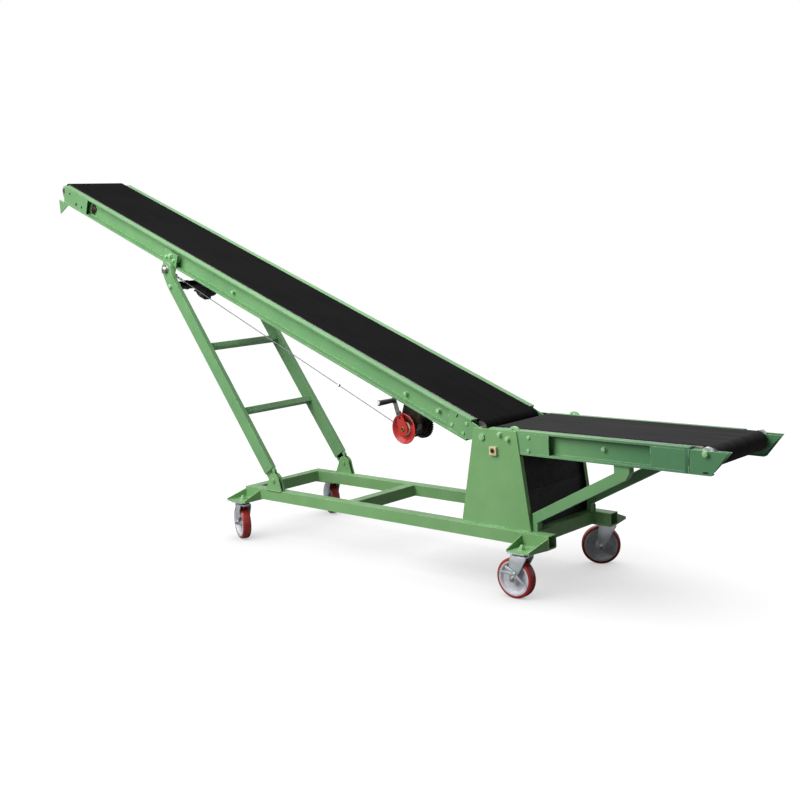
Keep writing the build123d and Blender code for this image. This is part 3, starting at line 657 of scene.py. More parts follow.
@dataclass(frozen=True)
class Steel(Finish):
    """Steel that shows its metal: plated, rolled or turned, with stains.

    Args:
        stain: colour of the stains, sRGB hex.
        staining: how much of it is stained.
        metal: how metallic it is, 1 for clean metal.
        streak: stretch of the working marks along x, y and z.
    """

    stain: str = "#6B5A45"
    staining: float = 0.2
    metal: float = 1.0
    streak: tuple[float, float, float] = (1.0, 1.0, 1.0)

    def fill(self, tree: bpy.types.NodeTree, shader: bpy.types.Node) -> None:
        """Add the plating's cloud, the stains and the working marks."""
        stains = self.patches(tree, 34, 6, (0.5, 0.72))
        colour = self.coat(tree, self.colour, self.stain, [stains, self.staining])
        tree.links.new(colour, shader.inputs["Base Color"])
        shader.inputs["Metallic"].default_value = self.metal
        dull = self.patches(tree, 24, 4, (0.3, 0.7), (self.roughness - 0.08, self.roughness + 0.12))
        tree.links.new(dull, shader.inputs["Roughness"])
        # Working marks are a few tenths apart; they are drawn at 4 mm.
        marks = self.bumps(tree, [(self.grain(tree, 4, 3, self.streak), 0.08)])
        tree.links.new(marks, shader.inputs["Normal"])


# Machinery enamel, sprayed soft green: satin; the towers carry a lighter copy of it. Its pale edges are
# partly worn paint and partly painted highlight, its upward faces paler green in patches.
GREEN = Enamel(
    "green_machinery_enamel", "#679865", 0.34, "#72A26D", "#A4C4A1", 0.14, chip_and_highlight="#CFE3CA", wear_and_highlight=1.0
)
# A lighter, warmer copy of the same enamel on the towers and rails: painted light. Its pale edges are
# partly worn paint and partly painted highlight.
TOWER_GREEN = Enamel(
    "green_enamel_painted_light", "#72A167", 0.38, "#7BAA70", "#A4C4A1", 0.14, chip_and_highlight="#CFE3CA", wear_and_highlight=1.0
)
# The feed's channels and side plates: the same enamel, darkened and cooled towards the nose as painted
# shade where the light falls off.
FEED_GREEN = Enamel(
    "green_enamel_painted_falloff", "#679865", 0.36, "#72A26D", "#A4C4A1", 0.12, "#CFE3CA", 1.0, painted_falloff="#4F8359"
)
# The far tower: the towers' lighter copy outside, its inner side painted black as painted shade.
SHADED = Enamel(
    "green_enamel_painted_shade_inside", "#72A167", 0.38, "#7BAA70", "#A4C4A1", 0.14, wear_and_highlight=1.0, painted_inner_shade="#0E120E"
)
# Bolts in the machine's green, painted lighter as a highlight on their heads; their pale edges are partly
# worn paint and partly painted highlight.
BOLTED = Enamel("green_bolts_painted_highlight", "#86B982", 0.3, "#9BCB95", dusting=0.1, chip_and_highlight="#C6D8C0", wear_and_highlight=0.8)
# Black sheet between the towers: a guessed belt guard, whose black also paints the shade there.
SHADE_GUARD = Enamel("black_guard_painted_shade", "#0B0D0B", 0.75, "#101310", dust="#3A3A36", dusting=0.15, wear_and_highlight=0.1)
# The same green darkened in the take-up gaps: painted shade.
GAP_SHADE_GREEN = Enamel("green_enamel_painted_gap_shade", "#3A6A4A", 0.6, "#315C40", dusting=0.1, wear_and_highlight=0.0)
# Chassis enamel: black, satin, dusty.
BLACK = Enamel("black_chassis_enamel", "#0E100E", 0.7, "#131513", dust="#3E3D38", dusting=0.2)
# Motor enamel: black, satin, oily.
MOTOR = Enamel("black_motor_enamel", "#141414", 0.36, "#1E1E1F", dust="#4A4844", dusting=0.25)
# Winch enamel, a bright signal red that is rubbed and greasy.
RED = Enamel("red_winch_enamel", "#B52A25", 0.36, "#C6362C", dust="#7A2A22", chip_and_highlight="#6E6259", wear_and_highlight=0.6)
# Bearing housing enamel, cream.
CREAM = Enamel("cream_housing_enamel", "#D8D0B0", 0.45, "#C9BF9A", dust="#A89878", chip_and_highlight="#7A6A52")
# Incline belting: black rubber cover, nearly clean.
INCLINE_BELT = Belting("black_rubber_belting", "#0D0D0E", 0.9, dusting=0.02, tilt=INCLINE_ANGLE)
# Feed belting: the same rubber, a lighter grey than the incline's and more dusted.
FEED_BELT = Belting("dusted_rubber_belting", "#2B2B2C", 0.85, dusting=0.12)
# Caster treads: cast polyurethane, signal red and glossy.
TREAD = Urethane("red_cast_polyurethane", "#A92A24", 0.28, "#931F1C", scuffing=0.22)
# Caster cores: moulded grey nylon.
HUB = Urethane("grey_moulded_nylon", "#C9CBD2", 0.42, "#B9BBC2", scuff="#8A8684", scuffing=0.3)
# Winch grip: black moulded plastic with a soft sheen.
GRIP = Urethane("black_moulded_grip", "#1C1B1D", 0.4, "#262427", scuff="#5A5658", scuffing=0.35)
# Grip cap: white moulded plastic.
CAP = Urethane("white_moulded_cap", "#E6E6E2", 0.35, "#D8D8D2", scuffing=0.1)
# Caster pressings: bright zinc plate, slightly blue.
ZINC = Steel("bright_zinc_plate", "#D3D9DD", 0.34, "#A4A8A8", 0.3, metal=0.75)
# Slider beds: cold rolled sheet, rubbed by the belt.
SHEET = Steel("cold_rolled_sheet", "#9A9C98", 0.38, "#6A5F50", 0.5, metal=0.85)
# Shafts, bolts and pins: turned steel with a little rust.
BARE = Steel("turned_bright_steel", "#A9A8A2", 0.34, "#6E4A30", 0.45, metal=0.9)
# Winch mechanism: oily zinc plated pressings.
OILED = Steel("oily_zinc_pressings", "#8F8B80", 0.36, "#2E2820", 0.8, metal=0.85)
# Toothed wheel: blackened cast iron.
IRON = Steel("blackened_cast_iron", "#252423", 0.5, "#3A332B", 0.4, metal=0.6)
# Lifting cable: galvanised wire rope.
ROPE = Steel("galvanised_wire_rope", "#7C7E7F", 0.5, "#5D5D5A", 0.3, metal=0.8, streak=(3, 3, 3))
# Bearing bush: bronze with old grease.
BRONZE = Steel("greasy_bearing_bronze", "#A98A4E", 0.4, "#3E2F1E", 0.7, metal=0.9)
# The winch's friction ring: pale pressed lining.
RING = Enamel(
    "pale_friction_ring",
    "#EDE8D6",
    0.45,
    "#DDD6BE",
    dust="#A89878",
    dusting=0.1,
    chip_and_highlight="#7A6A52",
    wear_and_highlight=0.3,
)
# Winch pressings, drum and rivets under years of grease; the same dark colour paints the shade in the
# cover's dish.
GREASE_AND_SHADE = Steel("greased_pressings_and_painted_shade", "#3A332C", 0.4, "#15120F", 0.6, metal=0.7)
# Bearing housing: cast iron with old rust and grease.
RUSTY = Steel("rusty_cast_housing", "#4A2C1E", 0.6, "#2A1A12", 0.8, metal=0.35)
# The inside of a hole: bare black shade.
SHADE_PIT = Enamel("painted_recess_shade", "#0D0F0D", 0.8, "#121412", dusting=0.0, wear_and_highlight=0.0)

SLOT_FINISHES: dict[str, Finish] = {
    "frame_paint": GREEN,
    "panel_black": BLACK,
    "motor_black": MOTOR,
    "winch_red": RED,
    "bearing_cream": CREAM,
    "belt_rubber": INCLINE_BELT,
    "wheel_tread": TREAD,
    "wheel_hub": HUB,
    "grip_black": GRIP,
    "caster_steel": ZINC,
    "bed_steel": SHEET,
    "bare_steel": BARE,
    "roller_steel": BARE,
    "winch_steel": OILED,
    "gear_steel": IRON,
}


def mount(piece: Piece, finish: Finish, body: str, stands_for: Sequence[str] = ()) -> Piece:
    """Dress a finished piece and make it ride.

    Args:
        piece: the piece, in its place.
        finish: its finish.
        body: the body it moves with.
        stands_for: nodes that it replaces.

    Returns:
        The same piece.
    """
    piece.data.materials.clear()
    piece.data.materials.append(finish.material())
    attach(piece, body)
    if stands_for:
        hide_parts(*stands_for)
    log.info("%s rides on %s", piece.name, body)
    return piece


# Studio


@dataclass
class Studio:
    """White sweep of floor, two large soft lamps and the camera at the photograph's place.

    Args:
        eye: place of the camera in the shared frame, metres.
        heading: turn of the view from +Y towards -X, degrees.
        dip: tilt of the view below the level, degrees.
        roll: roll of the camera, degrees.
        lens: focal length for a 36 mm frame.
        floor_size: side of the floor, metres.
        lamp_place: middle of the softbox, metres.
        lamp_aim: the point it looks at, metres.
        lamp_size: side of the softbox, metres.
        lamp_power: its power, watts.
        crown_place: middle of the softbox overhead, metres.
        crown_size: its side, metres.
        crown_power: its power, watts.
        sky_strength: strength of the light from all round.
        mirror_strength: what shiny surfaces see of the surround.
        floor_grey: share of light that the floor throws back onto the machine.
        seen_grey: share of the lamps' light that it shows the camera, over its own white.
        shade_floor: what is left of that white where the machine closes the sky off: painted shade on the
            floor.
        shade_reach: how far away a thing still closes it off, metres.
    """

    eye: tuple[float, float, float] = (4.94341, -4.8560, 1.81175)
    heading: float = 43.33
    dip: float = 8.19
    roll: float = -2.92
    lens: float = 54.525
    floor_size: float = 240.0
    lamp_place: tuple[float, float, float] = (-0.9, -4.4, 4.6)
    lamp_aim: tuple[float, float, float] = (0.5, 0.0, 0.7)
    lamp_size: float = 4.6
    lamp_power: float = 500.0
    crown_place: tuple[float, float, float] = (0.35, 0.45, 5.4)
    crown_size: float = 2.6
    crown_power: float = 170.0
    sky_strength: float = 0.08
    mirror_strength: float = 0.7
    floor_grey: float = 0.3
    seen_grey: float = 0.1
    shade_floor: float = 0.36
    shade_reach: float = 0.9

    def build(self) -> None:
        """Make the camera, the lamps, the surround and the floor."""
        self.add_camera()
        self.add_surround()
        self.add_lamp("large_softbox", self.lamp_place, self.lamp_size, self.lamp_power)
        self.add_lamp("overhead_softbox", self.crown_place, self.crown_size, self.crown_power)
        self.add_floor()
        bpy.context.scene.view_settings.view_transform = "Standard"

    def add_camera(self) -> None:
        """Place the camera from its eye, heading, dip and roll."""
        heading, dip, roll = radians(self.heading), radians(self.dip), radians(self.roll)
        look = Vector((-sin(heading) * cos(dip), cos(heading) * cos(dip), -sin(dip)))
        right = Vector((cos(heading), sin(heading), 0.0))
        up = right.cross(look)
        across = right * cos(roll) + up * sin(roll)
        above = up * cos(roll) - right * sin(roll)
        bpy.ops.object.camera_add()
        camera = bpy.context.object
        camera.name = "photograph_camera"
        camera.matrix_world = Matrix.Translation(self.eye) @ Matrix(
            (
                (across.x, above.x, -look.x, 0.0),
                (across.y, above.y, -look.y, 0.0),
                (across.z, above.z, -look.z, 0.0),
                (0.0, 0.0, 0.0, 1.0),
            )
        )
        camera.data.lens = self.lens
        camera.data.sensor_width = 36.0
        camera.data.clip_end = 500.0
        bpy.context.scene.camera = camera

    def add_surround(self) -> None:
        """Light from all round, seen as plain white by the camera."""
        world = bpy.data.worlds.new("white_surround")
        world.use_nodes = True
        bpy.context.scene.world = world
        tree = world.node_tree
        tree.nodes.clear()
        path = node(tree, "ShaderNodeLightPath")
        shiny = node(
            tree,
            "ShaderNodeMapRange",
            {"To Min": self.sky_strength, "To Max": self.mirror_strength},
            {"Value": path.outputs["Is Glossy Ray"]},
        )
        seen = node(
            tree,
            "ShaderNodeMath",
            {"operation": "MAXIMUM"},
            {0: path.outputs["Is Camera Ray"], 1: path.outputs["Is Transmission Ray"]},
        )
        total = node(
            tree, "ShaderNodeMath", {"operation": "MAXIMUM"}, {0: shiny.outputs[0], 1: seen.outputs[0]}
        )
        light = node(
            tree, "ShaderNodeBackground", {"Color": tint("#FFFFFF")}, {"Strength": total.outputs[0]}
        )
        node(tree, "ShaderNodeOutputWorld", links={"Surface": light.outputs[0]})

    def add_lamp(self, name: str, place: Point, size: float, power: float) -> None:
        """Hang a softbox that looks at the machine.

        Args:
            name: its name.
            place: its middle, metres.
            size: its side, metres.
            power: its power, watts.
        """
        bpy.ops.object.light_add(type="AREA", location=place)
        lamp = bpy.context.object
        lamp.name = name
        lamp.data.size = size
        lamp.data.energy = power
        aim = Vector(self.lamp_aim) - Vector(place)
        lamp.rotation_euler = aim.to_track_quat("-Z", "Y").to_euler()

    def add_floor(self) -> None:
        """A pale floor that keeps the lamps' shadow, has painted shade under the machine, and runs out to
        white.
        """
        bpy.ops.object.select_all(action="DESELECT")
        bpy.ops.mesh.primitive_plane_add(size=self.floor_size)
        floor = bpy.context.object
        floor.name = "studio_floor"
        made = bpy.data.materials.new("white_painted_floor")
        made.use_nodes = True
        tree = made.node_tree
        tree.nodes.clear()
        seen = node(tree, "ShaderNodeLightPath").outputs["Is Camera Ray"]
        greys = {"To Min": self.floor_grey, "To Max": self.seen_grey}
        grey = node(tree, "ShaderNodeMapRange", greys, {"Value": seen})
        paint = node(tree, "ShaderNodeBsdfDiffuse", {"Roughness": 0.6}, {"Color": grey.outputs[0]})
        # Painted shade: the floor's white glow darkens where the machine closes off the sky.
        around = {"samples": 16, "Distance": self.shade_reach}
        sky = node(tree, "ShaderNodeAmbientOcclusion", around).outputs["AO"]
        shade = node(tree, "ShaderNodeMapRange", {"To Min": self.shade_floor}, {"Value": sky})
        glow = node(tree, "ShaderNodeMath", {"operation": "MULTIPLY"}, {0: shade.outputs[0], 1: seen})
        white = node(tree, "ShaderNodeEmission", {"Color": tint("#FFFFFF")}, {"Strength": glow.outputs[0]})
        both = node(tree, "ShaderNodeAddShader", links={0: paint.outputs[0], 1: white.outputs[0]})
        node(tree, "ShaderNodeOutputMaterial", links={"Surface": both.outputs[0]})
        floor.data.materials.append(made)


# Small hardware


def outward(axes: Axes, places: Sequence[Point], reach: float, spin: float = 12.0) -> list[Matrix]:
    """Places on both sides of the machine, each looking outwards.

    Args:
        axes: the frame that the places are in.
        places: (along, height) pairs, millimetres.
        reach: distance of the seat from the centre plane.
        spin: turn of the first piece, from which each next one is turned a little on.

    Returns:
        The matrices, near and far side in turn.
    """
    return [
        axes.put((along, sign * reach, height), (0, sign, 0), spin + 23 * number)
        for number, (along, height) in enumerate(places)
        for sign in (-1, 1)
    ]


@dataclass(frozen=True)
class HexBolt:
    """A hexagon head or nut on its washer, modelled along +Z from its seat at 0.

    Args:
        flats: width across the flats.
        head: height of the head.
        washer: radius of the washer, none for 0.
        stub: length of threaded end that stands out of a nut, none for 0.
        shank: radius of the threaded end.
        washer_thick: thickness of the washer.
        pitch: distance from thread to thread, drawn coarser than the real one so that it shows.
        rounding: share of the width across the flats that is rounded off.
    """

    flats: float = 24.0
    head: float = 10.0
    washer: float = 17.0
    stub: float = 0.0
    shank: float = 8.0
    washer_thick: float = 2.5
    pitch: float = 2.4
    rounding: float = 0.07

    def build(self) -> Piece:
        """Return the master bolt."""
        seat = 0.0
        pieces = []
        if self.washer:
            seat = self.washer_thick
            rim = self.washer
            ring = [(0, 0), (0, rim), (seat - 0.6, rim), (seat, rim - 0.8), (seat, 0)]
            pieces.append(turned("washer", ring, steps=24))
        bpy.ops.object.select_all(action="DESELECT")
        middle = seat + self.head / 2
        bpy.ops.mesh.primitive_cylinder_add(
            vertices=6, radius=self.flats / 3**0.5, depth=self.head, location=(0, 0, middle)
        )
        pieces.append(soften(bpy.context.object, self.rounding * self.flats, 2))
        if self.stub:
            pieces.append(self.thread(seat + self.head))
        return joined("bolt", pieces)

    def thread(self, start: float) -> Piece:
        """Return the threaded end, ring by ring.

        Args:
            start: height at which it leaves the nut.

        Returns:
            The turned end.
        """
        profile = [(start - 1, 0.0)]
        height = start - 1
        while height < start + self.stub - self.pitch:
            profile += [(height, self.shank - 0.9), (height + self.pitch / 2, self.shank)]
            height += self.pitch
        profile += [(start + self.stub, self.shank - 1.6), (start + self.stub, 0.0)]
        return turned("thread", profile, steps=20)


@dataclass(frozen=True)
class Bead:
    """A hand-laid weld bead: overlapping drops along a seam.

    Args:
        width: width of the bead.
        pitch: distance from drop to drop.
    """

    width: float = 8.0
    pitch: float = 3.4

    def lay(self, name: str, axes: Axes, seams: Sequence[tuple[Point, Point]]) -> Piece:
        """Lay the bead along every seam.

        Args:
            name: name of the joined piece.
            axes: the frame that the seams are in.
            seams: start and end of each, millimetres.

        Returns:
            All the beads as one piece.
        """
        laid = []
        for number, (start, end) in enumerate(seams):
            run = Vector(end) - Vector(start)
            bpy.ops.object.select_all(action="DESELECT")
            bpy.ops.mesh.primitive_uv_sphere_add(segments=10, ring_count=6, radius=self.width / 2)
            drop = bpy.context.object
            bpy.ops.object.modifier_add(type="ARRAY")
            row = drop.modifiers[-1]
            row.count = max(2, int(run.length / self.pitch))
            row.use_relative_offset = False
            row.use_constant_offset = True
            row.constant_offset_displace = (0.0, 0.0, self.pitch)
            bpy.ops.object.modifier_apply(modifier=row.name)
            bpy.ops.object.mode_set(mode="EDIT")
            bpy.ops.mesh.select_all(action="SELECT")
            bpy.ops.transform.vertex_random(offset=0.05 * self.width, seed=number)
            bpy.ops.object.mode_set(mode="OBJECT")
            bpy.ops.object.shade_smooth_by_angle(angle=radians(70))
            laid.append(settle(drop, axes.put(start, run)))
        return joined(name, laid)


def two_sided(seams: Sequence[tuple[Point, Point]]) -> list[tuple[Point, Point]]:
    """Return the seams and their likenesses on the far side of the machine."""
    return [*seams, *(((a[0], -a[1], a[2]), (b[0], -b[1], b[2])) for a, b in seams)]


def two_plates(
    name: str, axes: Axes, outline: Sequence[Point], inner: float, outer: float, edge: float
) -> list[Piece]:
    """Extrude a side outline between two distances on each side of the machine.

    Args:
        name: name of the pieces.
        axes: the frame that the outline is in.
        outline: its corners in order, millimetres.
        inner: distance of one face from the centre plane.
        outer: distance of the other face.
        edge: width of the rounding on the edges.

    Returns:
        The near and the far piece, in their places.
    """
    return [
        settle(prism(name, Face.SIDE, outline, sign * inner, sign * outer, edge), axes.matrix())
        for sign in (-1, 1)
    ]


@dataclass(frozen=True)
class Fastened:
    """A set of like bolts on one body.

    Args:
        name: name of the joined piece.
        bolt: the bolt.
        places: where each one goes.
        body: the body they move with.
        finish: their finish.
        slot: the record's material slot; not used.
    """

    name: str
    bolt: HexBolt
    places: Sequence[Matrix]
    body: str
    finish: Finish = BOLTED
    slot: str = "frame_paint"

    def build(self) -> None:
        """Model the bolt once, copy it to every place and dress the copies."""
        piece = copies(self.name, self.bolt.build(), self.places)
        mount(piece, self.finish, self.body)


# Casters


@dataclass(frozen=True)
class Caster:
    """A swivel caster: pressed fork on its race, cored wheel and moulded tread.

    Args:
        place: which corner it is on.
        x: place of the kingpin along the machine.
        y: place of the kingpin across the machine.
        yaw: turn of the fork, degrees.
        braked: whether it has the side brake.
        trail: distance of the axle behind the kingpin.
        wheel_radius: radius of the tread.
        half_width: half the wheel's width.
        rim_radius: radius of the core's rim.
        hub_half: half the length of the core's boss.
        bore: radius of the axle's hole.
        crown_top: height of the fork's top.
        crown_radius: radius of its round crown.
        leg_inner: distance of a leg's inner face from the wheel's middle.
        leg_sheet: thickness of the leg.
        crease: how far its crease stands out.
    """

    place: str
    x: float
    y: float
    yaw: float
    braked: bool = False
    trail: float = 38.0
    wheel_radius: float = 101.6
    half_width: float = 25.0
    rim_radius: float = 87.6
    hub_half: float = 30.0
    bore: float = 8.1
    crown_top: float = 219.2
    crown_radius: float = 37.0
    leg_inner: float = 31.0
    leg_sheet: float = 5.0
    crease: float = 5.0

    @property
    def axes(self) -> Axes:
        """The fork's own frame, with x against its trail."""
        return Axes((self.x, self.y, 0.0), 0.0, self.yaw)

    @property
    def axle(self) -> tuple[float, float, float]:
        """The wheel's centre in the fork's frame."""
        return (-self.trail, 0.0, self.wheel_radius)

    def build(self) -> None:
        """Build and dress the whole caster."""
        fork = f"fork_{self.place}_body"
        wheel = f"wheel_{self.place}"
        mount(self.fork(), ZINC, fork, [f"fork_{self.place}"])
        mount(self.core(), HUB, wheel, [f"hub_{self.place}"])
        mount(self.tread(), TREAD, wheel, [f"tread_{self.place}"])
        mount(self.axle_ends(), BARE, fork)
        mount(self.race_seal(), OILED, "base")
        if self.braked:
            mount(self.brake(), ZINC, fork)

    def leg(self, sign: int) -> Piece:
        """One pressed leg with its upright crease.

        Args:
            sign: -1 for the near leg, 1 for the far one.

        Returns:
            The leg in the fork's frame.
        """
        top = self.crown_top - 4.0
        foot = arc((-self.trail, self.wheel_radius), 20.0, 8.0, -188.0, 9)
        outline = [(-52, top - 26), (-47, top), (44, top), (43, top - 12), *foot]
        inner = sign * self.leg_inner
        piece = trace("leg", [Face.SIDE.point(across, up, inner) for across, up in outline])
        only(piece)
        bpy.ops.object.mode_set(mode="EDIT")
        bpy.ops.mesh.select_all(action="SELECT")
        bpy.ops.mesh.extrude_region_move(
            TRANSFORM_OT_translate={"value": (0, sign * self.leg_sheet, 0)}
        )
        ridge_top = Vector((-16.0, inner, top))
        ridge_foot = Vector((-self.trail + 4, inner, self.wheel_radius + 21))
        across = (ridge_top - ridge_foot).cross(Vector((0, 1, 0))).normalized()
        bpy.ops.mesh.select_all(action="SELECT")
        bpy.ops.mesh.bisect(plane_co=ridge_top, plane_no=across)
        bpy.ops.mesh.select_all(action="DESELECT")
        bpy.ops.object.mode_set(mode="OBJECT")
        for corner in piece.data.vertices:
            off_ridge = abs((corner.co - ridge_top).dot(across))
            corner.select = off_ridge < 0.1 and corner.co.z > ridge_foot.z
        bpy.ops.object.mode_set(mode="EDIT")
        bpy.ops.transform.translate(value=(0, sign * self.crease, 0))
        bpy.ops.mesh.select_all(action="SELECT")
        bpy.ops.mesh.normals_make_consistent(inside=False)
        bpy.ops.object.mode_set(mode="OBJECT")
        return soften(piece, 1.2, 2, 24)

    def fork(self) -> Piece:
        """The crown with its skirt, the two legs and the kingpin's nut."""
        top = self.crown_top
        crown = turned(
            "crown",
            [
                (top, 0),
                (top, self.crown_radius - 3),
                (top - 2, self.crown_radius),
                (top - 12, self.crown_radius + 1),
                (top - 12, self.crown_radius - 3),
                (top - 6, self.crown_radius - 5),
                (top - 6, 0),
            ],
            steps=48,
            edge=0.6,
        )
        kingpin = HexBolt(27, 10, 17, 5, 9).build()
        settle(kingpin, Matrix.Translation((0, 0, top - 6)) @ Matrix.Rotation(pi, 4, "X"))
        shoulder = [(-47, -36), (44, -36), (44, 36), (-47, 36)]
        plate = prism("shoulder", Face.PLAN, shoulder, top - 5, top, 2.0)
        pieces = [crown, kingpin, plate, self.leg(-1), self.leg(1)]
        return settle(joined(f"pressed_fork_{self.place}", pieces), self.axes.matrix())

    def core(self) -> Piece:
        """The moulded core: hub boss, recessed disc with a step, and rim lip."""
        half = [
            (-self.hub_half, self.bore),
            (-self.hub_half, 17),
            (-self.hub_half + 3, 20),
            (-16, 24),
            (-9, 31),
            (-8, 52),
            (-10, 54),
            (-10, 66),
            (-14, 72),
            (-23, 76),
            (-self.half_width + 0.6, 77.5),
            (-self.half_width, 79),
            (-self.half_width, self.rim_radius - 1.2),
            (-self.half_width + 1.2, self.rim_radius),
        ]
        profile = [*half, *((-along, radius) for along, radius in reversed(half)), half[0]]
        piece = turned("core", profile, self.axle, (0, 1, 0), 64)
        return settle(joined(f"moulded_core_{self.place}", [piece]), self.axes.matrix())

    def tread(self) -> Piece:
        """The cast tread with its rounded shoulders."""
        shoulder = arc((-self.half_width + 9, self.wheel_radius - 9.4), 9.0, 180.0, 96.0, 6)
        half = [(-self.half_width, self.rim_radius), *shoulder, (-7, self.wheel_radius - 0.1)]
        profile = [*half, *((-along, radius) for along, radius in reversed(half)), half[0]]
        piece = turned("tread", profile, self.axle, (0, 1, 0), 72)
        return settle(joined(f"cast_tread_{self.place}", [piece]), self.axes.matrix())

    def axle_ends(self) -> Piece:
        """The axle bolt's head and nut outside the legs."""
        reach = self.leg_inner + self.leg_sheet
        x, _, z = self.axle
        places = [self.axes.put((x, sign * reach, z), (0, sign, 0), 10 * sign) for sign in (-1, 1)]
        return copies(f"axle_ends_{self.place}", HexBolt(19, 7, 13, 2, 6).build(), places)

    def race_seal(self) -> Piece:
        """The greasy seal that shows in the race's gap."""
        top = self.crown_top
        lip = [(0.1, 0), (0.1, 33), (2, 34.5), (6, 33), (8, 31.3), (8, 0)]
        ring = [(top + up, radius) for up, radius in lip]
        return settle(turned(f"race_seal_{self.place}", ring, steps=40), self.axes.matrix())

    def brake(self) -> Piece:
        """The side brake: its bent lever and the short link over it."""
        x, _, z = self.axle
        start = -self.leg_inner - self.leg_sheet - self.crease - 1
        lever = [(-60, 26), (-60, 38), (14, 33), (26, 30), (76, -12), (68, -23), (13, 20), (4, 22)]
        link = [(-34, 50), (-36, 60), (-28, 64), (6, 48), (24, 36), (20, 26), (12, 28)]
        pieces = [
            prism("lever", Face.SIDE, [(x + a, z + b) for a, b in lever], start - 2, start, 0.8),
            prism("link", Face.SIDE, [(x + a, z + b) for a, b in link], start - 4, start - 2, 0.8),
        ]
        pivot = HexBolt(13, 3, 9, washer_thick=0.8).build()
        settle(pivot, Matrix.Translation((x + 20, start - 4, z + 29)) @ Matrix.Rotation(pi / 2, 4, "X"))
        return settle(joined(f"side_brake_{self.place}", [*pieces, pivot]), self.axes.matrix())


CASTERS = (
    Caster("front_near", 2132, -370, 2, braked=True),
    Caster("front_far", 2132, 370, 35),
    Caster("rear_near", 52, -370, -23),
    Caster("rear_far", 52, 370, -25),
)


# Base frame, towers and feed conveyor


